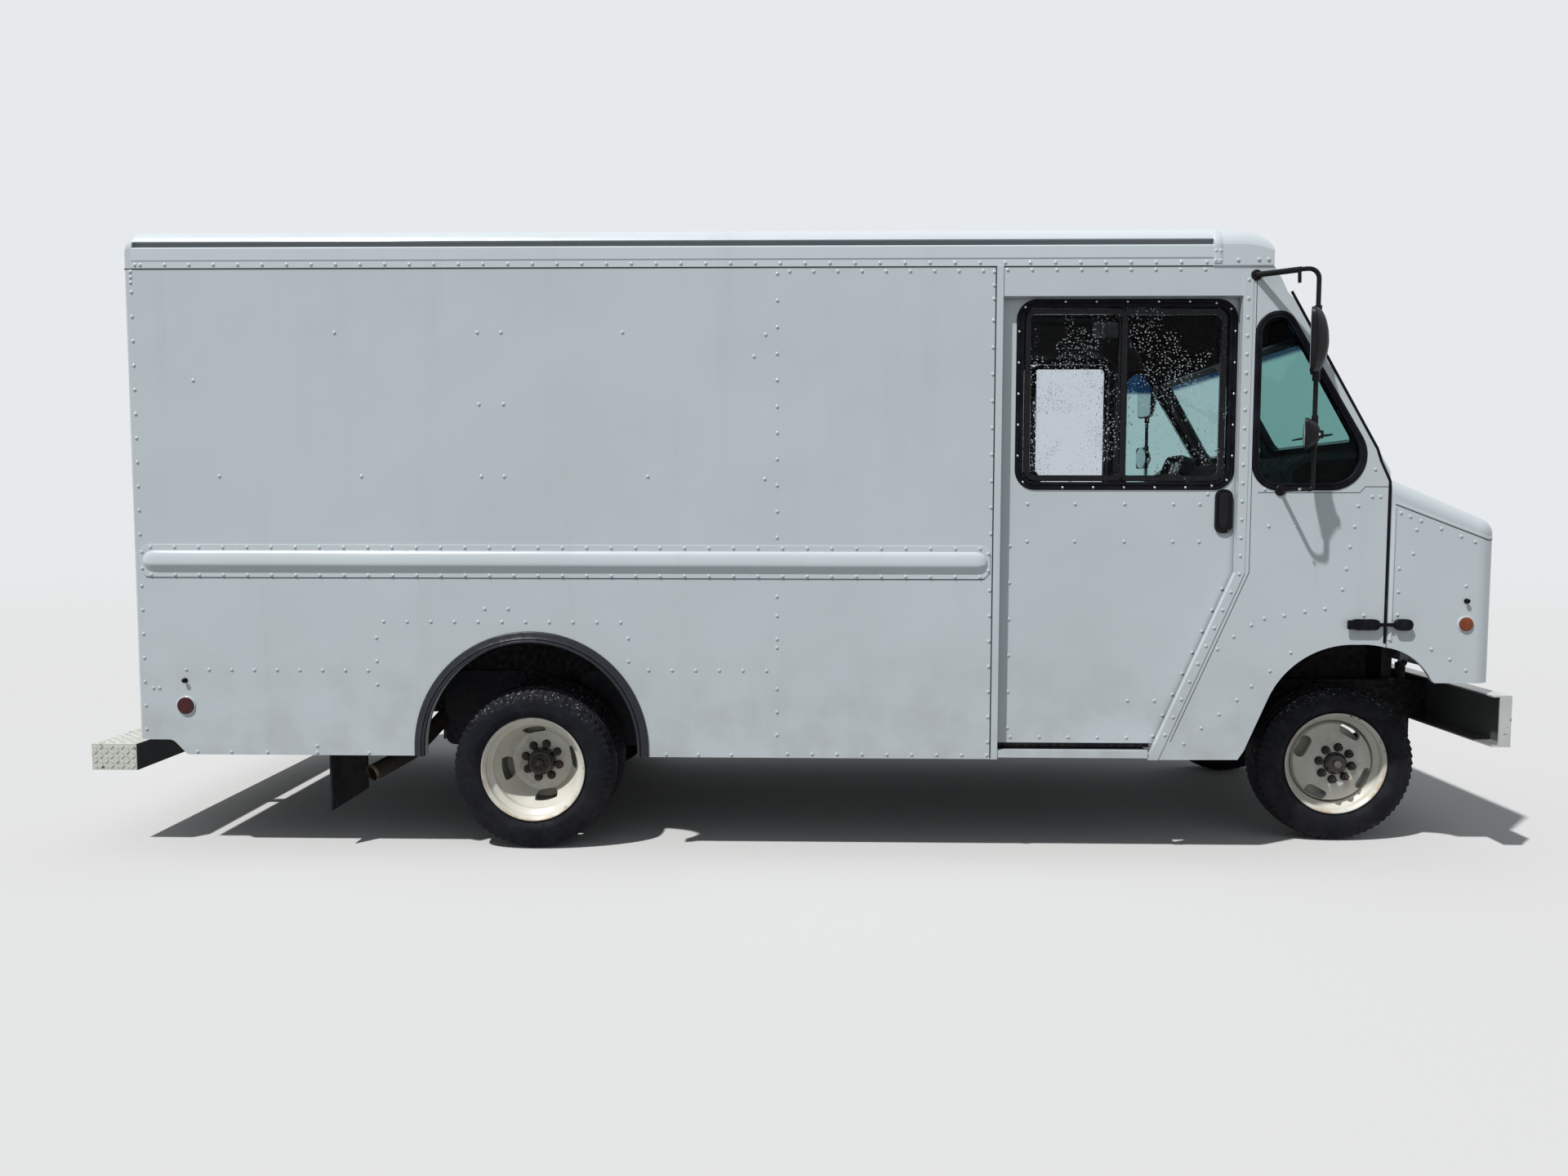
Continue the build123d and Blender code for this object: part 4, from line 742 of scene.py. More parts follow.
class VAN_OT_rivets(bpy.types.Operator):
    """Rivet heads over the body, the doors, the nose and the rear frame"""

    bl_idname = "van.rivets"
    bl_label = "Rivets"

    def execute(self, context):
        pitch = context.scene.van_rivets.pitch
        head = rivet_head()
        for name, side in sides.items():
            places = [on_side(side, wall_y + proud, x, z) for x, z, proud in side_rivets(pitch)]
            build(f"body_rivets_{name}", stamp(head, np.concatenate(places), *outward(side)), "body_white")
            slope = np.array([(3.010, 0.567), (3.340, 1.320)])
            along = np.linspace(0.02, 0.97, 8)[:, None]
            across = rear(2.397, 2.623, 2.859, 3.090, 3.215)
            door = [
                on_side(side, door_y, across, 1.702),
                on_side(side, door_y, across, 1.523),
                on_side(side, door_y, rear(3.251), 1.750),
                on_side(side, door_y, *(rear(0) * X[:2] + slope[0] + along * (slope[1] - slope[0])).T),
                on_side(side, door_y, rear(*row(2.33, 2.89, 0.14)), 0.575),
                on_side(side, door_y, rear(2.891, 3.02), 0.755),
                on_side(side, door_y, rear(2.315), row(0.62, 1.50, 0.18)),
            ]
            build(f"door_rivets_{name}", stamp(head, np.concatenate(door), *outward(side)), "door_white",
                  f"sliding_door_{name}")
        nose = [
            (4.139, 1.662), (4.184, 1.645), (4.234, 1.625), (4.330, 1.588), (4.424, 1.552), (4.490, 1.527),
            (4.215, 1.583), (4.203, 1.471), (4.456, 1.318), (4.215, 1.076), (4.305, 1.017), (4.393, 0.969),
            (4.470, 0.917), (4.140, 1.400), (4.140, 1.290), (4.140, 1.180),
        ]
        x, z = np.array(nose).T
        places = np.concatenate([on_side(side, wall_y, rear(0) + x, z) for side in sides.values()])
        outs = np.sign(places[:, 1:2]) * Y
        build("nose_rivets", stamp(head, places, X, Z, outs), "nose_white", "hood")
        across = [(y, z) for z in (2.755, 2.79) for y in row(-1.02, 1.02, pitch)]
        across += [(s * y, z) for s in (-1, 1) for y in (1.035, 1.165) for z in row(0.60, 2.70, 0.13)]
        y, z = np.array(across).T
        places = xyz(rear_x, y, z)
        clear_of_lamps = (np.abs(np.abs(y) - 1.095) > 0.065) | (z > 1.25) | (z < 0.82)
        build("rear_rivets", stamp(head, places[clear_of_lamps], Y, Z, -X), "body_white")
        return {"FINISHED"}


# Tyres


def tyre_grid(centre, side):
    """A tyre's surface: rings of (radius, across) turned about the axle. Each side wall is
    across = bead + bulge*sin(pi*t**0.8) + flare*t**3 with two ribs, the tread drops by the square
    of its distance from the middle, four grooves run round it, and cross grooves are cut where the
    angle's phase is high."""
    size = bpy.context.scene.van_tyres
    bead_radius, bead_across = 0.2635, 0.0965
    shoulder = 0.0885
    crown = 0.0085
    t = np.linspace(0, 1, 15)
    wall_r = bead_radius + (size.radius - crown - 0.006 - bead_radius) * t
    bulge = (size.width / 2 - bead_across) * np.sin(math.pi * t ** 0.8)
    wall = bead_across + (bulge + (shoulder + 0.004 - bead_across) * t ** 3)
    wall[[3, 4]] += 0.0016
    wall[[11, 12]] += 0.0012
    grooves = np.array([-0.058, -0.021, 0.021, 0.058])
    half = 0.0045
    cuts = (grooves[:, None] + half * np.array([-1.25, -0.8, 0.8, 1.25])).ravel()
    tread = np.unique(np.concatenate([np.linspace(-shoulder, shoulder, 11), cuts]))
    near = np.abs(tread[:, None] - grooves).min(1)
    sunk = np.where(near < half, size.tread, 0.0)
    tread_r = size.radius - crown * (tread / shoulder) ** 2 - sunk
    lip_r, lip = np.array([0.2562, 0.2566, 0.2592]), np.array([0.0982, 0.1000, 0.1012])
    radius = np.concatenate([lip_r, wall_r, tread_r[::-1], wall_r[::-1]])
    across = np.concatenate([lip, wall, tread[::-1], -wall[::-1]])
    inner = np.array([0.2620, 0.2480, 0.2480, 0.2620])
    inner_across = np.array([-0.0900, -0.0825, 0.0825, 0.0900])
    radius, across = np.concatenate([radius, inner]), np.concatenate([across, inner_across])
    phase = np.array([0.0, 0.06, 0.66, 0.72])
    steps = (np.arange(size.notches)[:, None] + phase).ravel() / size.notches
    angles = steps * math.tau
    cut = (np.arange(len(angles)) % 4 >= 2).astype(float)
    edge = np.clip((np.abs(across) - 0.0585) / 0.010, 0, 1) * np.clip((radius - 0.352) / 0.010, 0, 1)
    middle = np.where((np.abs(across) < 0.057) & (np.abs(across) > 0.0265) & (radius > 0.385), 0.4, 0.0)
    depth = (edge + middle)[:, None] * size.tread * 0.7 * cut
    points = turned(np.stack([radius, across], -1), centre, side, angles[None])
    toward = xyz(np.cos(angles), 0.0, np.sin(angles))
    return grid(points - depth[..., None] * toward, wrap_rows=True, wrap_columns=True)


class VAN_OT_tyres(bpy.types.Operator):
    """Tyres with side-wall ribs, grooves and shoulder notches"""

    bl_idname = "van.tyres"
    bl_label = "Tyres"

    def execute(self, context):
        front = rubber("front tyre rubber", (0.006, 0.0065, 0.010), 0.6, 0.03, 0.15,
                       (axle_front, 0, wheel_z))
        for name, side in sides.items():
            low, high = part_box(f"front_tyre_{name}")
            centre = np.array([axle_front, (low.y + high.y) / 2, wheel_z])
            build(f"front_tread_{name}", tyre_grid(centre, side), "tyre_black", f"front_wheel_{name}",
                  finish=front, replaced=(f"front_tyre_{name}",), smooth=30)
            low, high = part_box(f"rear_tyres_{name}")
            half = context.scene.van_tyres.width / 2
            middles = (low.y + half, high.y - half)
            pair = [tyre_grid(np.array([axle_rear, y, wheel_z]), side) for y in middles]
            build(f"twin_treads_{name}", join(*pair), "tyre_black", f"rear_wheels_{name}",
                  replaced=(f"rear_tyres_{name}",), smooth=30)
        return {"FINISHED"}


# Rub rails and roof edges


def formed(name, cuts, formula, slot):
    """A construction piece taken over in another outline: cut across at each x in cuts, so that
    it can bend there, and its points moved by a formula."""
    source = nodes[name]
    work = bmesh.new()
    work.from_mesh(source.data)
    work.transform(source.matrix_world)
    for cut in cuts:
        pieces = work.verts[:] + work.edges[:] + work.faces[:]
        bmesh.ops.bisect_plane(work, geom=pieces, dist=1e-6, plane_co=(cut, 0, 0), plane_no=(1, 0, 0))
    mesh = bpy.data.meshes.new(name + "_formed")
    work.to_mesh(mesh)
    work.free()
    points = coordinates(mesh)
    formula(points)
    mesh.vertices.foreach_set("co", points.ravel())
    placed(mesh, slot, "body", None, (name,), 30)


class VAN_OT_rails(bpy.types.Operator):
    """Rub rails with their crest low on the bead, and the roof drawn down at its cap and rear end"""

    bl_idname = "van.rails"
    bl_label = "Rub rails and roof edges"

    def execute(self, context):
        low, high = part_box("rub_rails")
        middle, length = (low.x + high.x) / 2, high.x - low.x
        bead = np.array([  # up from the crest and out from the wall, in mm
            (64, 2), (63.5, 8), (60, 17), (53, 26), (43, 33), (30, 38.5), (15, 42.5), (5, 44),
            (-2, 43.5), (-7, 41), (-12, 36), (-22, 25.5), (-33, 14), (-42, 5), (-43, 2), (0, 0),
        ]) / 1000
        crest_z, sink, deep, round_end, flange_z = 1.4195, 0.0105, 0.5, 0.055, 1.423
        reach = length / 2 - 0.012
        x = middle + np.sin(np.linspace(-1, 1, 65) * math.pi / 2) * reach
        near = np.clip((reach - np.abs(x - middle)) / round_end, 0, 1)
        swell = np.sqrt(1 - (1 - near) ** 2)[:, None]
        flange = round_box(length, 0.158, 0.050, 8)
        sheet = plate(flange, [(0, -0.001), (0, 0.003), (0.001, 0.004), (0.010, 0.004)])
        for name, side in sides.items():
            out = 0.002 + (bead[None, :, 1] - 0.002) * deep * swell
            up = crest_z + (bead[None, :, 0] - sink) * swell
            rail = closed_ends(xyz(x[:, None], side * (wall_y + out), up))
            face = stamp(sheet, [(middle, side * wall_y, flange_z)], *outward(side))
            build(f"rub_rail_{name}", join(rail, face), "rail_white", replaced=("rub_rails",), smooth=40)
        low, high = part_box("roof_cap")
        curve = 2.2

        def brow(points):
            """Draws the cap's front down by 68 mm at its top, over its last 175 mm."""
            share = np.clip((points[:, 0] - high.x + 0.175) / 0.175, 0, 1)
            height = np.clip((points[:, 2] - low.z) / (high.z - low.z), 0, 1)
            points[:, 2] -= 0.068 * share ** curve * height

        def roof_edge(points):
            """Flattens the rail to 6.5 mm and rounds the rear end down by 48 mm over 60 mm."""
            points[:, 1] = np.clip(points[:, 1], -wall_y - 0.0065, wall_y + 0.0065)
            share = np.clip((rear_x + 0.060 - points[:, 0]) / 0.060, 0, 1)
            points[:, 2] -= 0.048 * share ** curve * np.clip((points[:, 2] - 2.83) / 0.20, 0, 1)

        rear_cuts = np.linspace(rear_x + 0.003, rear_x + 0.057, 8)
        formed("roof_cap", np.linspace(high.x - 0.170, high.x - 0.004, 14), brow, "cap_white")
        formed("roof", rear_cuts, roof_edge, "roof_white")
        formed("rear_frame", rear_cuts, roof_edge, "body_white")
        return {"FINISHED"}


# Seams


def strip_along(points, width, height, out):
    """A flat strip along a path: a section of width by height carried along it, facing outward."""
    half = width / 2
    section = [(-half, -0.001), (half, -0.001), (half, height * 0.5), (half - height * 0.5, height),
               (height * 0.5 - half, height), (-half, height * 0.5)]
    return swept(points, np.array(section) * [1, np.sum(out)], np.abs(out))


class VAN_OT_seams(bpy.types.Operator):
    """Dark joints between the panels, sealer and painted gap shade, and the riveted band round the roof's cap"""

    bl_idname = "van.seams"
    bl_label = "Seams"

    def execute(self, context):
        head = rivet_head()
        runs = [  # (x from the rear axle, z), width
            ([(-1.905, 2.8085), (3.23, 2.8085)], 0.0045),
            ([(-1.851, 1.3425), (2.19, 1.3425)], 0.003),
            ([(2.2255, 0.482), (2.2255, 2.805)], 0.007),
            ([(2.262, 2.6705), (3.374, 2.6705)], 0.003),
            ([(3.437, 2.745), (3.437, 1.379), (3.085, 0.565)], 0.003),
            ([(3.467, 1.757), (3.944, 1.757), (3.969, 1.785), (4.080, 1.785)], 0.003),
        ]
        for name, side in sides.items():
            strips = []
            for run, width in runs:
                x, z = np.array(run).T
                strips.append(strip_along(on_side(side, wall_y, rear(0) + x, z), width, 0.0008, side * Y))
            build(f"body_joints_{name}", join(*strips), "gasket_rubber", finish=finishes["seam_dark"])
            arc = np.linspace(0, 1, 9)
            band = [(1.196, 2.822), (1.196, 2.902)]
            band += list(zip(1.196 - 0.096 * arc ** 1.6, 2.908 + 0.081 * np.sin(arc * math.pi / 2)))
            y, z = np.array(band).T
            path = xyz(axle_rear + 3.251, side * y, z)
            half = 0.0195
            section = np.array([(-half, -0.001), (half, -0.001), (half, 0.002), (0.018, 0.003),
                                (-0.018, 0.003), (-half, 0.002)])[:, ::-1] * [side, 1]
            rivets = [(3.240, 2.833), (3.262, 2.833), (3.240, 2.878), (3.262, 2.878), (3.344, 2.835),
                      (3.440, 2.837), (3.485, 2.837)]
            x, z = np.array(rivets).T
            places = on_side(side, 1.1975, rear(0) + x, z)
            build(f"cap_band_{name}", join(swept(path, section, X), stamp(head, places, *outward(side))),
                  "cap_white")
        return {"FINISHED"}


# Wheels


def nut():
    """A wheel nut on its stud: six sides, a flange below and a rounded end, along +Z."""
    radius, length = 0.0190, 0.024
    flange = plate(circle(radius * 1.18, 12),
                   [(0, -0.001), (0, 0.004), (0.002, 0.006), (radius * 0.3, 0.006)])
    body = plate(circle(radius, 6), [(0, 0), (0, length * 0.8), (0.0015, length), (radius * 0.45, length)])
    stud = plate(circle(0.008, 8), [(0, 0), (0, length + 0.007), (0.002, length + 0.009)])
    return join(flange, body, stud)


def round_axle(axle_x, y, reach, start):
    """Eight places round a wheel's axle, the first at an angle in degrees."""
    angle = np.radians(start + 45 * np.arange(8))
    return xyz(axle_x + reach * np.cos(angle), y, wheel_z + reach * np.sin(angle))


class VAN_OT_wheels(bpy.types.Operator):
    """Wheel nuts, the front hubs' caps and the rear axle's flanges"""

    bl_idname = "van.wheels"
    bl_label = "Wheels"

    def execute(self, context):
        black = metal("oiled steel", (0.018, 0.016, 0.015), 0.42, 0.2, rust=0.25, dust=0.15)
        grey = metal("hub cap steel", (0.16, 0.155, 0.15), 0.45, 0.7, rust=0.1)
        for name, side in sides.items():
            for wheel, axle_x, seat_y, reach, start in (
                ("front_wheel", axle_front, 0.871, 0.0826, 36),
                ("rear_wheels", axle_rear, 0.9125, 0.0870, 31),
            ):
                places = round_axle(axle_x, side * seat_y, reach, start)
                build(f"{wheel}_nuts_{name}", stamp(nut(), places, *outward(side)), "rim_white",
                      f"{wheel}_{name}", finish=black)
            turns = np.arange(32)[None] * math.tau / 32
            cap = turned([(0.0, 0.126), (0.010, 0.126), (0.016, 0.1245), (0.020, 0.121), (0.022, 0.116),
                          (0.022, 0.109), (0.0, 0.109)], (axle_front, side * 0.785, wheel_z), side, turns)
            build(f"front_cap_{name}", grid(cap, wrap_columns=True), "rim_white", f"front_wheel_{name}",
                  finish=grey)
            boss = turned([(0.0, 0.090), (0.014, 0.090), (0.020, 0.088), (0.024, 0.080), (0.045, 0.079),
                           (0.048, 0.077), (0.048, 0.073), (0.0, 0.073)],
                          (axle_rear, side * 0.8995, wheel_z), side, turns)
            places = round_axle(axle_rear, side * 0.9785, 0.036, 12)
            small = plate(circle(0.0065, 6), [(0, -0.001), (0, 0.004), (0.0012, 0.0055)])
            bolts = stamp(small, places, *outward(side))
            build(f"axle_flange_{name}", join(grid(boss, wrap_columns=True), bolts), "rim_white",
                  f"rear_wheels_{name}", finish=black)
        return {"FINISHED"}


# Doors


def window_rubber():
    """Section of a window rubber: a lip each side of a filler groove, in (inward, outward)."""
    return np.array([(-0.019, -0.029), (-0.019, 0.002), (-0.0165, 0.0052), (-0.010, 0.006), (-0.004, 0.0048),
                     (-0.002, 0.0018), (0.002, 0.0018), (0.004, 0.0048), (0.011, 0.006), (0.017, 0.004),
                     (0.019, 0.0), (0.019, -0.029)])


def ring(outline, centre, y, section, side):
    """A closed section carried round an outline that lies beside the van."""
    path = xyz(centre[0] + outline[:, 0], side * y, centre[1] + outline[:, 1])
    return swept(path, section * [1, side], Y, closed=True)


class VAN_OT_doors(bpy.types.Operator):
    """Window rubber with its screws, sliding sashes, paddle handles and the brush below each door"""

    bl_idname = "van.doors"
    bl_label = "Doors"

    def execute(self, context):
        zinc = metal("zinc screws", (0.55, 0.56, 0.57), 0.35)
        shine = plastic("handle plastic", (0.005, 0.005, 0.007), 0.22, 0.4, 0.06)
        for name, side in sides.items():
            body = f"sliding_door_{name}"
            centre = (axle_rear + 2.853, 2.218)
            outline = round_box(1.040, 0.898, 0.095, 10)
            rubber_ring = ring(inset(outline, 0.019), centre, door_y, window_rubber(), side)
            handle_at = [(axle_rear + 3.327) * X + side * door_y * Y + 1.668 * Z]
            base = plate(round_box(0.083, 0.210, 0.036), [(0, 0), (0, 0.009), (0.002, 0.012),
                                                          (0.006, 0.0125), (0.010, 0.009), (0.020, 0.008)])
            paddle = plate(round_box(0.052, 0.168, 0.020),
                           [(0, 0), (0, 0.010), (0.001, 0.0145), (0.004, 0.0165), (0.012, 0.0175)])
            bulge = plate(circle(0.024, 20),
                          [(0, 0), (0, 0.012), (0.002, 0.018), (0.007, 0.021), (0.014, 0.022)])
            bulge.points[:, 1] -= 0.062
            build(f"door_rubber_{name}", rubber_ring, "gasket_rubber", body, replaced=(f"door_trim_{name}",))
            build(f"door_handle_{name}", stamp(join(base, paddle, bulge), handle_at, *outward(side)),
                  "gasket_rubber", body, finish=shine, replaced=(f"door_trim_{name}",))
            frame_bar = np.array([(-0.014, -0.009), (0.014, -0.009), (0.014, 0.007), (0.012, 0.009),
                                  (-0.012, 0.009), (-0.014, 0.007)])
            sashes = []
            for left, right, y in ((2.374, 2.860, 1.126), (2.818, 3.331, 1.112)):
                pane_box = round_box(right - left, 0.816, 0.055, 8)
                sashes.append(ring(inset(pane_box, 0.015), (axle_rear + (left + right) / 2, 2.218), y,
                                   frame_bar, side))
            build(f"door_sashes_{name}", join(*sashes), "gasket_rubber", body, finish=shine)
            x = np.concatenate([*[row(2.561, 3.144, 0.146)] * 2, [2.345] * 5, [3.361] * 5,
                                [2.372, 3.268, 3.338] * 2])
            z = np.concatenate([[1.781] * 5, [2.655] * 5, *[row(1.931, 2.516, 0.146)] * 2,
                                [1.806, 1.789, 1.816, 2.630, 2.647, 2.620]])
            screw = plate(circle(0.0055, 8), [(0, 0), (0, 0.001), (0.0015, 0.0025), (0.0035, 0.003)])
            screws = stamp(screw, on_side(side, 1.1405, axle_rear + x, z), *outward(side))
            build(f"door_screws_{name}", screws, "gasket_rubber", body, finish=zinc)
            along = np.linspace(axle_rear + 2.20, axle_rear + 3.00, 161)
            wave = 0.003 * np.sin(along * 160) * np.sin(along * 23)
            depth = np.array([0.001, 0.0, -0.010, -0.019, -0.0225, -0.0225, -0.019, -0.010, 0.0, 0.001])
            thick = np.array([0.006, 0.008, 0.006, 0.005, 0.003, -0.003, -0.005, -0.006, -0.008, -0.006])
            loose = wave[:, None] * (depth[None] < -0.005)
            sheet = xyz(along[:, None], side * (door_y - 0.013 + thick[None] + loose), 0.548 + depth[None])
            build(f"door_brush_{name}", closed_ends(sheet), "gasket_rubber", body,
                  finish=finishes["flap_rubber"], smooth=50)
        return {"FINISHED"}


# Mirrors


def tube(path, radius):
    """A round bar of 14 sides along a path; no path here runs along the slanted direction given."""
    return swept(path, circle(radius, 14), (0.6, 0.62, 0.5))


def mirror_shell(width, height, depth, edge):
    """A mirror's housing, open side at x = 0: rings up the height whose plan is a bowed D. Each
    ring shrinks as (1 - 0.98*t**6)**(1/6), and its depth falls from depth to edge as 1 - t**2."""
    t = np.sin(np.linspace(-1, 1, 25) * math.pi / 2)
    plan = rounded([(0.0, -0.5), (0.42, -0.5), (1.0, -0.2), (1.0, 0.2), (0.42, 0.5), (0.0, 0.5)],
                   [0.03, 0.16, 0.25, 0.25, 0.16, 0.03], 6)
    shrink = (1 - np.abs(t) ** 6 * 0.98) ** (1 / 6)
    deep = edge + (depth - edge) * (1 - t ** 2)
    out, aside = plan[None, :, 0] * (deep * shrink)[:, None], plan[None, :, 1] * width * shrink[:, None]
    return closed_ends(xyz(out, aside, t[:, None] * height / 2))


class VAN_OT_mirrors(bpy.types.Operator):
    """Mirror heads on their bent tube arms"""

    bl_idname = "van.mirrors"
    bl_label = "Mirrors"

    def execute(self, context):
        silver = Finish("silvered glass", (0.62, 0.66, 0.68), 0.04, metallic=1.0)
        silver.rough(silver.ramp(silver.noise(20.0), 0.4, 0.8, 0.03, 0.12))
        silver.tint(silver.ramp(silver.noise(7.0), 0.5, 0.8), (0.40, 0.43, 0.45), 0.4)
        zinc = metal("mirror bolts", (0.42, 0.42, 0.42), 0.4)
        for name, side in sides.items():
            def at(x, y, z):
                """A place beside the cab: x from the rear axle, y out from the middle."""
                return np.array([axle_rear + x, side * y, z])

            arm_y, head_at, small_at = 1.345, at(3.634, 1.336, 2.442), at(3.618, 1.340, 2.022)
            bends = [at(3.570, arm_y, 2.762), at(3.600, arm_y, 2.764), at(3.657, arm_y, 2.792),
                     at(3.657, arm_y, 1.772), at(3.640, arm_y, 1.768)]
            arm = rounded(bends, [0, 0.03, 0.045, 0.02, 0], 9, False)
            bends = [at(3.645, arm_y, 1.770), at(3.600, arm_y, 1.770), at(3.572, 1.200, 1.767)]
            foot = rounded(bends, [0, 0.03, 0], 7, False)
            bar = np.linspace(at(3.432, 1.198, 2.766), at(3.575, arm_y, 2.762), 5)
            peg = np.linspace(at(3.568, arm_y, 2.765), at(3.570, arm_y, 2.702), 4)
            collar = np.linspace(at(3.657, arm_y, 2.600), at(3.657, arm_y, 2.262), 4)
            low_collar = np.linspace(at(3.658, arm_y, 2.105), at(3.658, arm_y, 1.955), 4)
            flange = plate(circle(0.026, 20), [(0, -0.002), (0, 0.004), (0.004, 0.008), (0.012, 0.009)])
            flanges = stamp(flange, [at(3.432, 1.190, 2.766), at(3.572, 1.190, 1.767)], *outward(side))
            turn = math.radians(24 if name == "right" else 14)
            back = math.cos(turn) * X + side * math.sin(turn) * Y
            aside = math.cos(turn) * Y - side * math.sin(turn) * X
            head = stamp(mirror_shell(0.184, 0.296, 0.074, 0.040), [head_at], back, aside)
            small = stamp(mirror_shell(0.128, 0.142, 0.066, 0.020), [small_at], back, aside)
            clamps = join(block(at(3.630, 1.372, 2.408), at(3.690, 1.395, 2.448), 0.005),
                          block(at(3.636, 1.368, 2.000), at(3.684, 1.388, 2.036), 0.004))
            parts = join(tube(arm, 0.0105), tube(foot, 0.009), tube(bar, 0.0135), tube(peg, 0.008),
                         tube(collar, 0.0165), tube(low_collar, 0.0145), flanges, head, small, clamps)
            build(f"mirror_{name}", parts, "mirror_black", replaced=("mirrors",))
            face = plate(round_box(0.168, 0.276, 0.035), [(0, -0.001), (0, 0.001), (0.001, 0.002)])
            bulb = [(0.064 * (1 - c), 0.001 + 0.011 * math.sin(c * math.pi / 2))
                    for c in (0, 0.15, 0.35, 0.6, 0.85)]
            dome = plate(circle(0.064, 28, 1.08), [(0, -0.001)] + [(0.064 - r, h) for r, h in bulb])
            glass = join(stamp(face, [head_at], aside, Z, -back), stamp(dome, [small_at], aside, Z, -back))
            build(f"mirror_glass_{name}", glass, "clear_lens", finish=silver.material)
            bolt = plate(circle(0.007, 6), [(0, 0), (0, 0.005), (0.0015, 0.0065)])
            places = [at(3.648, 1.395, 2.436), at(3.672, 1.395, 2.420), at(3.660, 1.388, 2.018),
                      at(3.594, 1.352, 1.770)]
            build(f"mirror_bolts_{name}", stamp(bolt, places, *outward(side)), "tank_steel", finish=zinc)
        return {"FINISHED"}


# Flares and window rubber


def edge_section(width, height, below):
    """Section of a window rubber (outward from the glass, proud): a bead by the glass, a filler
    groove and a lip over the metal, closed below the surface."""
    half = width / 2
    return np.array([(-half, -below), (-half, 0.0), (-half * 0.93, height * 0.62), (-half * 0.72, height),
                     (-half * 0.42, height * 0.86), (-half * 0.30, height * 0.45),
                     (-half * 0.16, height * 0.45), (-half * 0.04, height * 0.86), (half * 0.45, height),
                     (half * 0.80, height * 0.70), (half, height * 0.12), (half, -below)])


def slope(across, up, out):
    """Points on the windshield's slope: y across, up along it from its foot, out square to it."""
    across, up, out = np.broadcast_arrays(across, up, out)
    points = across[..., None] * Y + up[..., None] * slope_up + out[..., None] * slope_out
    return points + (axle_front + 0.014) * X + 1.953 * Z


class VAN_OT_rubber(bpy.types.Operator):
    """Flares round the rear arches, and rubber round the windshield and the quarter windows"""

    bl_idname = "van.rubber"
    bl_label = "Flares and window rubber"

    def execute(self, context):
        reach, foot, arch_z = 0.570, 0.478, 0.516
        angle = np.radians(np.linspace(180, 0, 61))
        leg = np.linspace(foot, arch_z, 4)[:-1]
        x = np.concatenate([[-reach] * 3, reach * np.cos(angle), [reach] * 3]) + axle_rear + 0.010
        z = np.concatenate([leg, arch_z + reach * np.sin(angle), leg[::-1]])
        flare = np.array([  # towards the wheel is negative, then outward, in mm
            (0, -1), (0, 4), (-2, 8.5), (-7, 11.5), (-16, 13.5), (-26, 17.5), (-33, 21.5), (-35.5, 20.5),
            (-37.5, 18), (-39.5, 21.5), (-44, 25.5), (-49, 26), (-52.5, 23.5), (-54, 18), (-53, 8),
            (-51.5, -1),
        ]) / 1000
        corners = [(-0.578, 1.767), (0.089, 1.767), (-0.417, 2.604), (-0.578, 2.604)]
        window = inset(rounded(corners, (0.125, 0.165, 0.085, 0.110), 10), 0.017)
        for name, side in sides.items():
            path = on_side(side, wall_y, x, z)
            build(f"wheel_flare_{name}", swept(path, flare * [1, side], Y), "flare_rubber",
                  replaced=("wheel_flares",))
            section = edge_section(0.034, 0.006, 0.032) * [-1, 1]
            build(f"quarter_rubber_{name}", ring(window, (axle_front, 0.0), wall_y, section, side),
                  "gasket_rubber", replaced=("window_gaskets",))
        screens = []
        for side in sides.values():
            outline = inset(round_box(1.060, 0.600, 0.075, 9), 0.017)
            path = slope(outline[:, 0] + side * 0.560, outline[:, 1] + 0.3427, 0.0)
            screens.append(swept(path, edge_section(0.034, 0.006, 0.036), slope_out, closed=True))
        build("windshield_rubber", join(*screens), "gasket_rubber", replaced=("window_gaskets",))
        return {"FINISHED"}


# Lamps


def lamp(outline, depth, crown, ring_width=0.0055):
    """A lamp's foot and its lens, inside a ring of the foot. The lens rises steeply, then crowns."""
    foot = plate(outline, [(0, -0.001), (0, depth * 0.30), (0.0012, depth * 0.38), (0.004, depth * 0.38)])
    rings = [(0, 0.2), (0, 0.62), (0.0015, 0.80), (crown * 0.5, 0.94), (crown, 1)]
    cover = plate(inset(outline, ring_width), [(inward, depth * share) for inward, share in rings])
    return foot, cover


def fluted(width, height, flutes):
    """A headlamp glass, flat behind: 3 mm*(1-u**4)*(1-v**4) + 0.8 mm*|cos(flutes*pi*u/2)| in front."""
    u, v = np.meshgrid(np.linspace(-1, 1, flutes * 6 + 1), np.linspace(-1, 1, 9), indexing="ij")
    rise = 0.003 * (1 - u ** 4) * (1 - v ** 4) + 0.0008 * np.abs(np.cos(flutes * math.pi * u / 2))
    back = -0.004
    front = xyz(u * width / 2, v * height / 2, rise)
    rim = np.pad(front, ((1, 1), (1, 1), (0, 0)), mode="edge")
    rim[[0, -1], :, 2] = back
    rim[:, [0, -1], 2] = back
    return join(grid(rim), grid(front * [1, 1, 0] + [0, 0, back]))


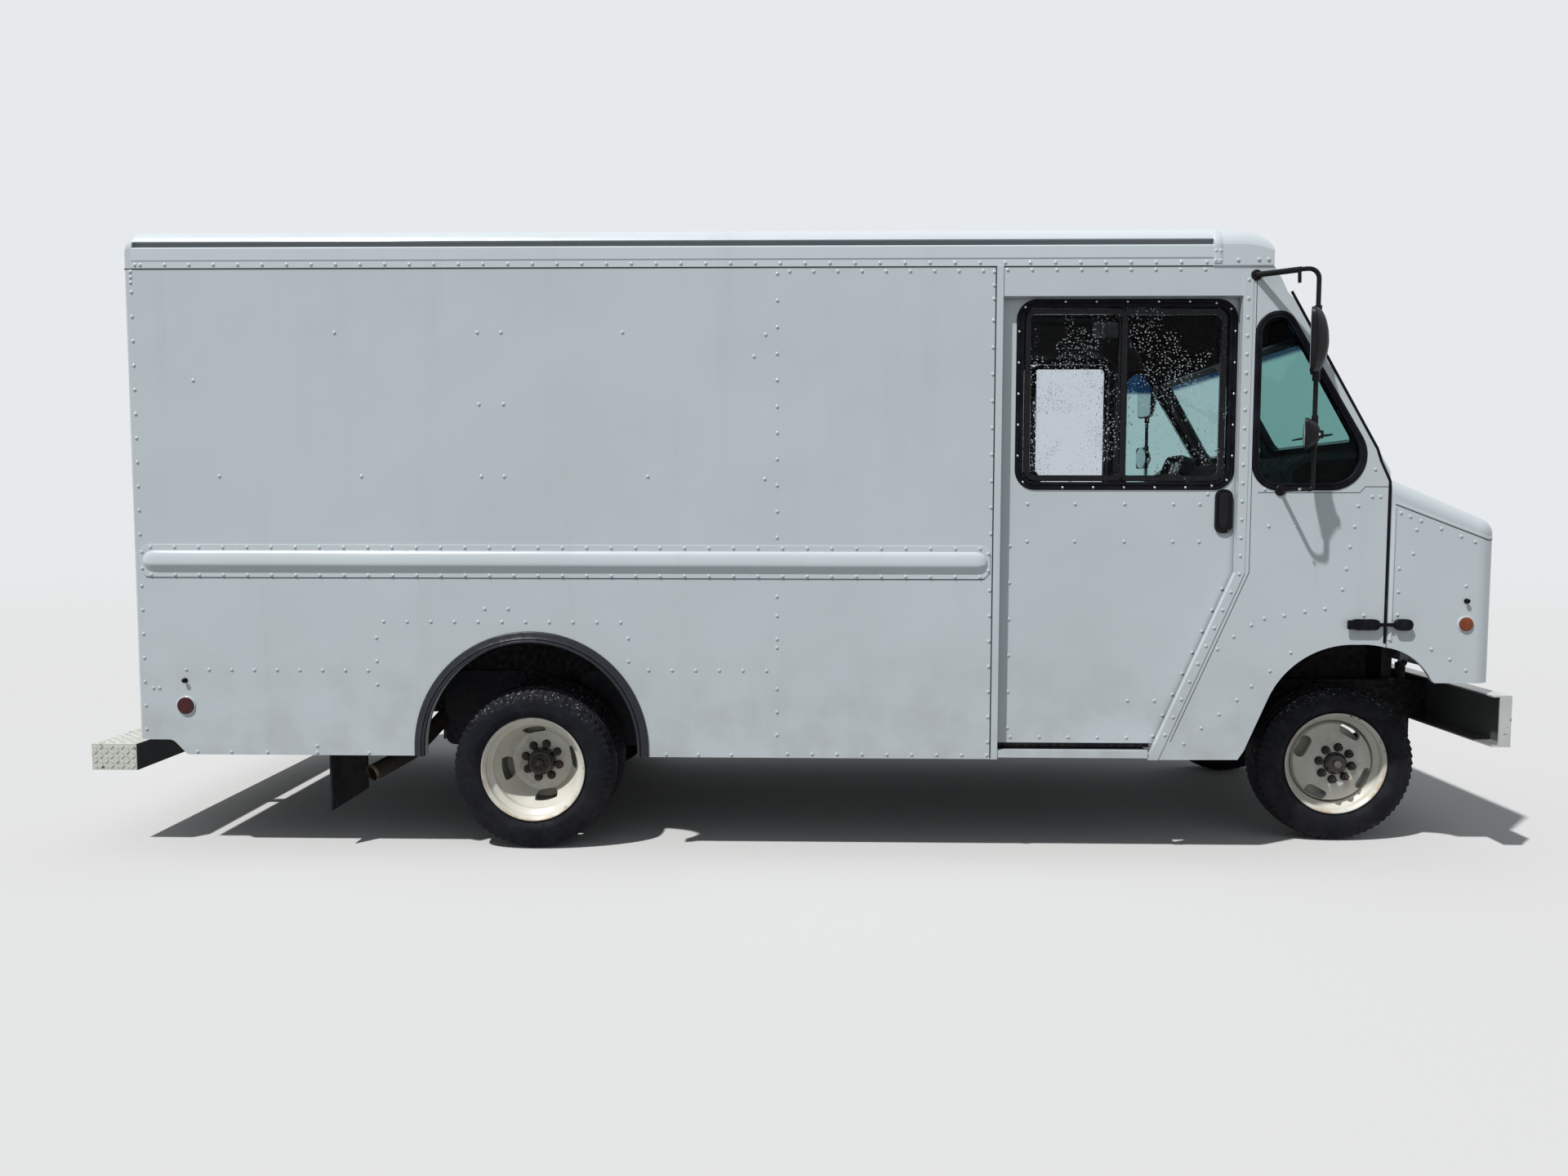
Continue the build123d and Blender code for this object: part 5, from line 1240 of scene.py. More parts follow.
class VAN_OT_lamps(bpy.types.Operator):
    """Marker, tail and brow lamps on their feet, and headlamps with a bowl behind fluted glass"""

    bl_idname = "van.lamps"
    bl_label = "Lamps"

    def execute(self, context):
        nose_x, brow_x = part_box("nose")[1].x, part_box("roof_cap")[1].x
        backward, forward = (Y, Z, -X), (Y, Z, X)
        small, clearance = round_box(0.100, 0.036, 0.012, 5), round_box(0.090, 0.032, 0.010, 5)
        lamp_y = 0.760
        tail = [(rear_x, s * 1.095, z) for s in (-1, 1) for z in (0.900, 1.030, 1.160)]
        high = [(rear_x, y, 2.848) for y in (-1.080, -0.160, 0, 0.160, 1.080)]
        brow = [(brow_x, y, 2.842) for y in (-1.020, -0.160, 0, 0.160, 1.020)]
        turn = [(nose_x - 0.004, s * lamp_y, 1.055) for s in (-1, 1)]
        groups = [  # name, slot, body, replaced node, [(outline, depth, crown, places, axes)]
            ("tail_lamps", "red_lens", "body", "red_lamps", [
                (circle(0.052, 36), 0.020, 0.020, tail, backward),
                (small, 0.026, 0.009, high, backward),
            ]),
            ("brow_markers", "amber_lens", "body", "brow_lamps", [
                (clearance, 0.026, 0.009, brow, forward),
            ]),
            ("turn_lamps", "amber_lens", "hood", "amber_lamps", [
                (round_box(0.250, 0.080, 0.014, 5), 0.012, 0.012, turn, forward),
            ]),
        ]
        for name, side in sides.items():
            red = (circle(0.0465, 32), 0.012, 0.016, [(axle_rear - 1.676, side * wall_y, 0.717)],
                   outward(side))
            amber = (circle(0.0385, 32), 0.012, 0.015, [(axle_front + 0.448, side * wall_y, 1.137)],
                     outward(side))
            groups.append((f"red_marker_{name}", "red_lens", "body", "red_lamps", [red]))
            groups.append((f"amber_marker_{name}", "amber_lens", "hood", "amber_lamps", [amber]))
        for name, slot, body, node, kinds in groups:
            feet, covers = [], []
            for outline, depth, crown, places, axes in kinds:
                foot, cover = lamp(outline, depth, crown)
                feet.append(stamp(foot, places, *axes))
                covers.append(stamp(cover, places, *axes))
            build(f"{name}_lenses", join(*covers), slot, body, replaced=(node,))
            # The side markers' feet take the lightened paint, a painted highlight on their rings.
            foot_paint = finishes["lamp_foot"] if "marker_" in name else finishes["gasket_rubber"]
            build(f"{name}_feet", join(*feet), slot, body, finish=foot_paint, replaced=(node,))
        places = [(nose_x, s * lamp_y, 1.215) for s in (-1, 1)]
        outline = round_box(0.250, 0.190, 0.010, 4)
        bowl = plate(outline, [(0, -0.050), (0, -0.003), (0.010, -0.003), (0.014, -0.009), (0.022, -0.017),
                               (0.034, -0.026), (0.050, -0.034), (0.068, -0.039), (0.086, -0.041)])
        build("headlamp_bowls", stamp(bowl, places, *forward), "clear_lens", "hood",
              finish=finishes["lamp_silver"], replaced=("headlamps",))
        build("headlamp_glasses", stamp(fluted(0.232, 0.172, 14), places, *forward), "clear_lens", "hood",
              finish=finishes["lamp_glass"], replaced=("headlamps",))
        bezel = np.array([(-10, -5), (8, -5), (8, 0), (5, 4), (-3, 5.5), (-9, 3), (-10, 0)]) / 1000
        rims = []
        for x, y, z in places:
            edge = inset(outline, 0.004)
            rims.append(swept(xyz(x, y + edge[:, 0], z + edge[:, 1]), bezel, X, closed=True))
        screw = plate(circle(0.005, 10), [(0, 0), (0, 0.001), (0.002, 0.0025)])
        corners = [(x + 0.004, y + a * 0.118, z + b * 0.088)
                   for x, y, z in places for a in (-1, 1) for b in (-1, 1)]
        build("headlamp_bezels", join(*rims, stamp(screw, corners, *forward)), "clear_lens", "hood",
              finish=finishes["chrome"], replaced=("headlamps",))
        return {"FINISHED"}


# Nose


class VAN_OT_nose(bpy.types.Operator):
    """The cover's raised edge and seam, the folds behind it, rubber knobs and pads, and the mesh"""

    bl_idname = "van.nose"
    bl_label = "Nose"

    def execute(self, context):
        start, bend, corner = 4.113, 4.510, 0.100
        turn = np.radians(np.linspace(0, 90, 11))[1:]
        x = np.concatenate([np.linspace(start, bend, 14), bend + corner * np.sin(turn)])
        y = np.concatenate([[wall_y] * 14, wall_y - corner + corner * np.cos(turn)])
        x, y = np.concatenate([x, x[::-1]]), np.concatenate([-y, y[::-1]])
        z = np.maximum(1.7015 - 0.3807 * (x - start), 1.535)
        path = xyz(axle_rear + x, y, z)
        lip = np.array([(-1, 2), (1.2, 2), (2.0, 3.2), (2.0, 10), (1.0, 14), (-1, 15)]) / 1000
        gap = np.array([(-1, -1.9), (0.6, -1.9), (0.6, 1.9), (-1, 1.9)]) / 1000
        build("cover_lip", swept(path, lip, Z), "nose_white", "hood")
        # A dark strip along the cover's seam: painted shade for the gap.
        build("cover_seam", swept(path, gap, Z), "gasket_rubber", "hood", finish=finishes["seam_dark"])
        knob = plate(circle(0.012, 18), [(0, -0.001), (0, 0.003), (0.004, 0.0045), (0.006, 0.009),
                                         (0.003, 0.012), (0.001, 0.016), (0.003, 0.0195), (0.008, 0.021)])
        low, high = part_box("cab_sides")
        strip = np.array([(-6.5, -1), (6.5, -1), (6.5, 1), (4, 2.5), (-4, 2.5), (-6.5, 1)]) / 1000
        for name, side in sides.items():
            axes = outward(side)
            build(f"nose_knob_{name}", stamp(knob, [(axle_rear + 4.460, side * wall_y, 1.247)], *axes),
                  "gasket_rubber", "hood")
            build(f"wall_knob_{name}", stamp(knob, [(axle_rear - 1.676, side * wall_y, 0.841)], *axes),
                  "gasket_rubber")
            line = rounded([(high.x - 0.0065, 1.045), (high.x - 0.0065, 1.812), (2.779, 1.905),
                            (2.760, 1.962), (2.338, 2.692)], [0, 0.03, 0.03, 0.06, 0], 5, False)
            edge = on_side(side, wall_y, *line.T)
            build(f"cowl_strip_{name}", swept(edge, strip * [1, side], Y), "gasket_rubber")
            fold = np.array([(-9, -1), (10, -1), (10, 2), (8.5, 6), (5, 8), (1, 7.2), (-4, 4.6),
                             (-9, 0.8)]) / 1000
            edge = on_side(side, wall_y, np.full(8, axle_front + 0.0925), np.linspace(1.060, 1.690, 8))
            build(f"nose_edge_{name}", swept(edge, fold * [-1, side], Y), "nose_white", "hood")
            strap = []
            rise = 0.024
            for middle, width, height in ((-0.070, 0.036, 0.044), (0.005, 0.030, 0.040)):
                pad = plate(round_box(width, height, 0.006, 4),
                            [(0, 0.020), (0, rise), (0.003, rise + 0.003), (0.008, rise + 0.0035)])
                strap.append(stamp(pad, [(axle_front - 0.028 + middle, side * wall_y, 1.134)], *axes))
            build(f"latch_pads_{name}", join(*strap), "gasket_rubber")
        low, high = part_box("grille")
        across = np.linspace(low.y + 0.02, high.y - 0.02, 60)
        up = np.linspace(low.z + 0.02, high.z - 0.02, 26)
        wire = block((-0.0012, -0.0012, 0.0), (0.0012, 0.0012, 1.0), 0.0003)
        back_x, edge = low.x - 0.006, 0.01
        tall = Patch(wire.points * [1, 1, up[-1] - up[0]], wire.quads)
        wide = Patch(wire.points * [1, 1, across[-1] - across[0]], wire.quads)
        upright = stamp(tall, xyz(back_x, across, up[0]))
        level = stamp(wide, xyz(back_x, across[0], up), X, Z, Y)
        screen = block((back_x - 0.012, low.y + edge, low.z + edge),
                       (back_x - 0.004, high.y - edge, high.z - edge), 0.002)
        build("grille_mesh", join(upright, level, screen), "grille_black", "hood")
        return {"FINISHED"}


# Bumpers


class VAN_OT_bumpers(bpy.types.Operator):
    """Tread marks over the rear step, and bolts through the front bumper"""

    bl_idname = "van.bumpers"
    bl_label = "Bumpers"

    def execute(self, context):
        low = np.array(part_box("rear_bumper")[0])
        half, deep = 1.150, 0.225
        top_z, bottom_z = 0.518, 0.388
        pitch = 0.026
        points = np.array([(-12, 0), (-7, 2.6), (0, 4), (7, 2.6), (12, 0), (7, -2.6), (0, -4),
                           (-7, -2.6)]) / 1000
        mark = plate(points, [(0, -0.0004), (0.0012, 0.0028)])
        marks = []

        def cover(corner, along, down, out, length, width):
            """Tread marks over a rectangle, turned one way and the other by turns."""
            counts = (np.arange(max(1, round(size / pitch))) for size in (length, width))
            i, j = np.meshgrid(*counts, indexing="ij")
            step_i, step_j = length / (i.max() + 1), width / (j.max() + 1)
            i, j = i.ravel()[:, None], j.ravel()[:, None]
            places = corner + (i + 0.5) * step_i * along + (j + 0.5) * step_j * down
            turned_way = (i + j) % 2 * 2 - 1
            u = (along + turned_way * down) / math.sqrt(2)
            v = np.cross(out, u)
            marks.append(stamp(mark, places, u, v, out))

        edge = 0.006
        cover(np.array([low[0] + edge, -half + edge, top_z]), Y, X, Z, 2 * half - 2 * edge, deep - 2 * edge)
        for side in sides.values():
            cover(np.array([low[0] + edge, side * half, bottom_z + edge]), X, Z, side * Y, deep - 2 * edge,
                  top_z - bottom_z - 2 * edge)
        build("step_tread", join(*marks), "step_white", smooth=60)
        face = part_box("front_bumper")[1].x
        bolt = plate(circle(0.015, 20), [(0, -0.0005), (0, 0.001), (0.002, 0.004), (0.006, 0.0065),
                                         (0.011, 0.0075)])
        places = [(face - 0.0076, s * y, z) for s in (-1, 1) for y in (0.36, 0.43) for z in (0.625, 0.720)]
        build("bumper_bolts", stamp(bolt, places, Y, Z, X), "bumper_white")
        return {"FINISHED"}


# Rear


class VAN_OT_rear(bpy.types.Operator):
    """Latch, grab bars, rubber seal, hinges between the slats, blank plate and reflectors"""

    bl_idname = "van.rear"
    bl_label = "Rear"

    def execute(self, context):
        slat_x = rear_x + 0.012
        backward = (-Y, Z, -X)
        seal = np.array([(-9, 0), (-9, 4), (-5, 9), (4, 10), (9, 6), (9, 0)]) / 1000
        edge, foot, top = 0.990, 0.815, 2.691
        corners = [(-edge, foot), (-edge, top), (edge, top), (edge, foot)]
        way = rounded(corners, [0, 0.03, 0.03, 0], 6, False)
        build("door_seal", swept(xyz(slat_x + 0.001, *way.T), seal, -X), "gasket_rubber",
              finish=finishes["flap_rubber"])
        zinc = finishes["zinc"]
        base = plate(round_box(0.200, 0.100, 0.012, 4), [(0, 0), (0, 0.003), (0.001, 0.004), (0.004, 0.004)])
        boss = plate(circle(0.026, 24), [(0, 0), (0, 0.010), (0.004, 0.016), (0.010, 0.018)])
        bolt = plate(circle(0.007, 6), [(0, 0), (0, 0.004), (0.0015, 0.0055)])
        corners = [(a * 0.085, b * 0.037, 0.004) for a in (-1, 1) for b in (-1, 1)]
        latch = join(base, stamp(boss, [(0, 0, 0.003)]), stamp(bolt, corners))
        bar = tube(rounded([(-0.075, 0, 0.012), (-0.075, 0, 0.040), (0.075, 0, 0.040), (0.075, 0, 0.012)],
                           [0, 0.016, 0.016, 0], 7, False), 0.0085)
        build("roller_latch", stamp(join(latch, bar), [(rear_x - 0.014, 0, 0.885)], *backward),
              "tank_steel", finish=zinc)
        grab = rounded([(0, -0.220, -0.002), (0, -0.220, 0.058), (0, 0.220, 0.058), (0, 0.220, -0.002)],
                       [0, 0.028, 0.028, 0], 8, False)
        flange = plate(circle(0.026, 20), [(0, 0), (0, 0.003), (0.002, 0.005), (0.010, 0.0055)])
        grab_bar = join(tube(grab, 0.012), stamp(flange, [(0, -0.220, 0), (0, 0.220, 0)]),
                        stamp(bolt, [(a * 0.018, b * 0.220, 0.004) for a in (-1, 1) for b in (-1, 1)]))
        build("grab_bars", stamp(grab_bar, [(rear_x, s * 1.045, 1.600) for s in (-1, 1)], *backward),
              "tank_steel")
        knuckle = plate(round_box(0.060, 0.030, 0.004, 3),
                        [(0, 0), (0, 0.002), (0.001, 0.003), (0.004, 0.003)])
        pin = swept(xyz(np.linspace(-0.030, 0.030, 3), 0.0, 0.003), circle(0.004, 8), Z)
        door_foot, slats = 0.810, 13
        pitch = (2.700 - door_foot) / slats
        places = [(slat_x, y, door_foot + pitch * k) for y in (-0.93, -0.31, 0.31, 0.93)
                  for k in range(1, slats)]
        build("slat_hinges", stamp(join(knuckle, pin), places, *backward), "rear_door_white", finish=zinc)
        sheet = plate(round_box(0.305, 0.152, 0.012, 5),
                      [(0, 0.004), (0, 0.0055), (0.0005, 0.006), (0.006, 0.006)])
        holder = plate(round_box(0.325, 0.172, 0.010, 5),
                       [(0, -0.001), (0, 0.003), (0.001, 0.004), (0.006, 0.004)])
        at = [(rear_x, -0.640, 0.682)]
        build("plate_holder", stamp(holder, at, *backward), "gasket_rubber")
        screws = stamp(bolt, [(a * 0.090, b * 0.062, 0.006) for a in (-1, 1) for b in (-1, 1)])
        build("blank_plate", stamp(join(sheet, screws), at, *backward), "body_white",
              finish=finishes["plate_blank"])
        foot, cover = lamp(circle(0.036, 28), 0.010, 0.006, 0.003)
        places = [(rear_x, s * 1.02, 0.640) for s in (-1, 1)]
        build("reflectors", stamp(cover, places, *backward), "red_lens")
        build("reflector_feet", stamp(foot, places, *backward), "tank_steel", finish=zinc)
        return {"FINISHED"}


# Wipers and roof


class VAN_OT_top(bpy.types.Operator):
    """Wipers on the windshield, a matt black liner over it inside as painted shade,
    and riveted joints across the roof
    """

    bl_idname = "van.top"
    bl_label = "Wipers and roof joints"

    def execute(self, context):
        pieces = []
        for side in sides.values():
            pivot, middle = (side * 0.22, 0.012), (side * 0.60, 0.118)
            arm = np.array([
                slope(*pivot, 0.010), slope(pivot[0] + side * 0.05, pivot[1] + 0.012, 0.020),
                slope(middle[0] - side * 0.06, middle[1] - 0.018, 0.014), slope(*middle, 0.006),
            ])
            arm = rounded(arm, [0, 0.05, 0.08, 0], 6, False)
            pieces.append(swept(arm, round_box(0.006, 0.012, 0.002, 3), slope_out))
            cap = plate(circle(0.019, 20), [(0, -0.002), (0, 0.010), (0.003, 0.017), (0.010, 0.020)])
            pieces.append(stamp(cap, [slope(*pivot, 0.0)], Y, slope_up, slope_out))
            reach = 0.24
            blade = np.linspace(middle[0] - side * reach, middle[0] + side * reach, 17)
            bow = 0.006 - 0.014 * ((blade - middle[0]) / reach) ** 2
            pieces.append(swept(slope(blade, middle[1], bow), round_box(0.005, 0.009, 0.0015, 3), slope_out))
            pieces.append(swept(slope(blade, middle[1], -0.012), round_box(0.007, 0.004, 0.001, 3),
                                slope_out))
        build("wipers", join(*pieces), "gasket_rubber")
        # Painted shade: a matt black liner inside over the windshield, so the header looks dark through the glass.
        corners = [(2.385, 2.490), (2.183, 2.840), (2.100, 2.925), (1.620, 2.935)]
        liner = rounded(corners, [0, 0.05, 0.08, 0], 6, False)
        path = xyz(liner[:, 0], 0.0, liner[:, 1])
        dull = rubber("header liner", (0.008, 0.009, 0.011), 0.9, 0.0, 0.02)
        build("header_liner", swept(path, round_box(0.003, 2.20, 0.001, 3), Y), "liner_grey", finish=dull)
        head = rivet_head()
        roof_z, drop, half = 3.030, 0.038, 1.1  # the roof's crown falls by drop over half its width
        y = row(-1.08, 1.08, 0.118)
        crown = roof_z - drop * (y / half) ** 2
        height = np.minimum(crown, 3.0296 - context.scene.van_rivets.height)
        tilt = xyz(0.0, 0.0628 * y, 1.0)
        across = np.linspace(-1.095, 1.095, 41)
        seams, places, ups = [], [], []
        joint = np.array([(0.001, -0.002), (0.001, 0.002), (-0.0002, 0.002), (-0.0002, -0.002)])
        for x in rear(-1.25, -0.35, 0.55, 1.45, 2.35):
            line = xyz(x, across, roof_z - 0.0002 - drop * (across / half) ** 2)
            seams.append(swept(line, joint, X))
            for shift in (-0.022, 0.022):
                places.append(xyz(x + shift, y, height))
                ups.append(tilt)
        build("roof_joints", join(*seams), "gasket_rubber", finish=finishes["seam_dark"])
        ups = np.concatenate(ups)
        build("roof_rivets", stamp(head, np.concatenate(places), X, np.cross(ups, X), ups), "roof_white")
        return {"FINISHED"}


# Driver's place


def evaluated(shape):
    """A new mesh of an object as its modifiers leave it."""
    return bpy.data.meshes.new_from_object(shape.evaluated_get(bpy.context.evaluated_depsgraph_get()))


def stuffed(name, patch):
    """A foam block puffed by a cloth simulation: remeshed in even cells, blown up under pressure
    for 20 frames, each point held within a reach of where it began. Gives its object and points."""
    voxel, reach, frames = 0.012, 0.012, 20
    scene = bpy.context.scene
    shape = build(name, patch, "seat_black", smooth=180)
    fill = shape.modifiers.new("even cells", "REMESH")
    fill.mode = "VOXEL"
    fill.voxel_size = voxel
    whole = evaluated(shape)
    shape.modifiers.clear()
    shape.data = whole
    start = coordinates(whole)
    cloth = shape.modifiers.new("vinyl", "CLOTH")
    cloth.settings.quality = 6
    cloth.settings.mass = 0.4
    cloth.settings.tension_stiffness = cloth.settings.compression_stiffness = 12
    cloth.settings.bending_stiffness = 0.6
    cloth.settings.use_pressure = True
    cloth.settings.uniform_pressure_force = 4
    cloth.settings.effector_weights.gravity = 0
    for frame_number in range(1, frames + 1):
        scene.frame_set(frame_number)
    moved = coordinates(evaluated(shape)) - start
    scene.frame_set(1)
    shape.modifiers.clear()
    length = np.linalg.norm(moved, axis=1, keepdims=True)
    moved *= np.minimum(1, reach / np.maximum(length, 1e-9))
    return shape, start + moved


def crown_box(low, high, corner, soft):
    """A cushion before it is stuffed: a rounded outline whose rings draw in at the foot and top."""
    low, high = np.array(low), np.array(high)
    width, length, tall = high - low
    outline = round_box(width, length, corner, 7)
    rings = [(soft, 0), (soft * 0.3, soft * 0.3), (0, soft), (0, tall - soft),
             (soft * 0.3, tall - soft * 0.3), (soft, tall), (soft * 2, tall + 0.004)]
    return stamp(plate(outline, rings), [((low + high) / 2 * [1, 1, 0] + [0, 0, low[2]])])


class VAN_OT_driver(bpy.types.Operator):
    """Driver's seat on its sprung base, instrument binnacle, air vents, shift lever and floor mat"""

    bl_idname = "van.driver"
    bl_label = "Driver's place"

    def execute(self, context):
        seat_x, seat_y, cushion_z = axle_front - 1.040, 0.560, 1.190
        lean = math.atan2(0.100, 0.645)
        back_up = np.array([-math.sin(lean), 0, math.cos(lean)])
        back_out = np.array([math.cos(lean), 0, math.sin(lean)])
        low = (seat_x - 0.235, seat_y - 0.228, cushion_z + 0.014)
        cushion = crown_box(low, (seat_x + 0.245, seat_y + 0.228, 1.284), 0.060, 0.026)
        rest = crown_box((-0.225, -0.300, 0.0), (0.225, 0.300, 0.072), 0.075, 0.026)
        rest = stamp(rest, [(seat_x - 0.268, seat_y, cushion_z + 0.430)], Y, back_up, back_out)
        for name, patch, out in (("seat_cushion", cushion, Z), ("seat_back", rest, back_out)):
            shape, points = stuffed(name, patch)
            top = points @ out
            face = np.clip((top - top.max() + 0.045) / 0.03, 0, 1)[:, None]
            aside = points[:, 1:2] - seat_y
            groove = sum(np.exp(-((aside - g) / 0.007) ** 2) for g in (-0.130, -0.045, 0.045, 0.130))
            points -= face * groove * 0.007 * out
            shape.data.vertices.foreach_set("co", points.ravel())
            finer = shape.modifiers.new("finer", "SUBSURF")
            finer.levels = finer.render_levels = 1
            shape.data.materials.clear()
            shape.data.materials.append(finishes["seat_black"])
            shape.data.shade_smooth()
            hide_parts("driver_seat")
        base = []
        for half, foot, top in ((0.180, 0.810, 0.850), (0.200, cushion_z - 0.036, cushion_z + 0.006)):
            low = (seat_x - half, seat_y - half + 0.020, foot)
            base.append(block(low, (seat_x + half, seat_y + half - 0.020, top), 0.006))
        for side in (-1, 1):
            rail_y = seat_y + side * 0.150
            low = (seat_x - 0.240, rail_y - 0.014, cushion_z - 0.004)
            base.append(block(low, (seat_x + 0.225, rail_y + 0.014, cushion_z + 0.022), 0.003))
            hinge_y = seat_y + side * 0.232
            stay = np.array([(seat_x - 0.080, hinge_y, cushion_z + 0.020),
                             (seat_x - 0.245, hinge_y, cushion_z + 0.030),
                             (seat_x - 0.300, hinge_y, cushion_z + 0.330)])
            base.append(swept(rounded(stay, [0, 0.06, 0], 7, False), round_box(0.034, 0.006, 0.002, 3), Y))
        panel = plate(round_box(0.400, 0.540, 0.060, 6),
                      [(0, 0), (0, 0.010), (0.006, 0.016), (0.014, 0.018)])
        base.append(stamp(panel, [(seat_x - 0.272, seat_y, cushion_z + 0.430)], -Y, back_up, -back_out))
        build("seat_frame", join(*base), "seat_black", finish=finishes["dash_black"],
              replaced=("driver_seat",))
        t = np.linspace(0, 1, 43)
        fold = 0.010 * np.abs(np.sin(t * math.pi * 7)) - 0.006
        outline = round_box(0.330, 0.290, 0.040, 5)
        heights = 0.848 + (cushion_z - 0.884) * t
        rings = np.stack([
            np.column_stack([inset(outline, -f), np.full(len(outline), z)]) for f, z in zip(fold, heights)
        ])
        build("seat_bellows", stamp(closed_ends(rings), [(seat_x, seat_y, 0)]), "seat_black",
              finish=finishes["flap_rubber"], replaced=("driver_seat",))
        hood = rounded([(-0.20, -0.055), (0.20, -0.055), (0.17, 0.075), (-0.17, 0.075)],
                       [0.02, 0.02, 0.06, 0.06], 6)
        cluster = plate(hood, [(0, -0.030), (0, 0.050), (0.004, 0.055), (0.014, 0.055), (0.017, 0.030),
                               (0.030, 0.028)])
        gauge_u, gauge_v, gauge_w = -Y, np.array([0.30, 0, 0.954]), np.array([-0.954, 0, 0.30])
        at = [(axle_front - 0.372, 0.560, 1.918)]
        build("binnacle", stamp(cluster, at, gauge_u, gauge_v, gauge_w), "dash_black")
        dial = plate(circle(0.042, 28), [(0, 0), (0, 0.004), (0.003, 0.005), (0.005, 0.002), (0.008, 0.002)])
        tick = block((-0.0008, 0.026, 0.002), (0.0008, 0.033, 0.0028), 0.0003)
        turn = np.radians(np.linspace(-130, 130, 11))
        ticks = stamp(tick, np.zeros((11, 3)), xyz(np.cos(turn), -np.sin(turn), 0.0),
                      xyz(np.sin(turn), np.cos(turn), 0.0), Z)
        needle = block((-0.0012, -0.006, 0.003), (0.0012, 0.026, 0.0045), 0.0005)
        face = np.array(at[0]) + 0.028 * gauge_w
        places = [face + a * gauge_u + 0.005 * gauge_v for a in (-0.085, 0.0, 0.085)]
        build("gauges", stamp(dial, places, gauge_u, gauge_v, gauge_w), "dash_black",
              finish=finishes["chrome"])
        build("gauge_marks", stamp(join(ticks, needle), places, gauge_u, gauge_v, gauge_w), "dash_black",
              finish=finishes["plate_blank"])
        rim = plate(round_box(0.150, 0.060, 0.012, 4),
                    [(0, 0), (0, 0.006), (0.002, 0.008), (0.006, 0.008), (0.008, 0.003), (0.012, 0.003)])
        bars = [block((-0.064, v - 0.0015, 0.001), (0.064, v + 0.0015, 0.007), 0.0006)
                for v in (-0.016, -0.008, 0.0, 0.008, 0.016)]
        slant = np.array([-0.994, 0, 0.110])
        places = [(axle_front - 0.4045, y, 1.825) for y in (-0.85, -0.30, 0.20, 0.90)]
        build("air_vents", stamp(join(rim, *bars), places, -Y, np.cross(slant, -Y), slant), "dash_black")
        foot = (axle_front - 0.44, 0.33, 1.250)
        bends = [foot, (axle_front - 0.45, 0.33, 1.420), (axle_front - 0.52, 0.34, 1.520)]
        lever = rounded(bends, [0, 0.08, 0], 8, False)
        grip = plate(circle(0.022, 18), [(0.008, -0.030), (0.001, -0.020), (0, 0.0), (0.003, 0.018),
                                         (0.012, 0.026)])
        boot = plate(round_box(0.120, 0.120, 0.040, 5),
                     [(0, 0), (0.004, 0.006), (0.016, 0.020), (0.020, 0.022), (0.026, 0.034),
                      (0.034, 0.046), (0.044, 0.060)])
        build("shift_lever", join(tube(lever, 0.008), stamp(grip, [lever[-1]]), stamp(boot, [foot])),
              "dash_black")
        pitch = 0.045
        ribs = [block((axle_front - 0.84, y, 0.812), (axle_front - 0.54, y + 0.018, 0.816), 0.001)
                for y in -0.62 + pitch * np.arange(28)]
        mat = block((axle_front - 0.85, -0.64, 0.8095), (axle_front - 0.52, 0.68, 0.813), 0.001)
        build("floor_mat", join(mat, *ribs), "deck_grey", finish=finishes["flap_rubber"])
        return {"FINISHED"}


# Underside


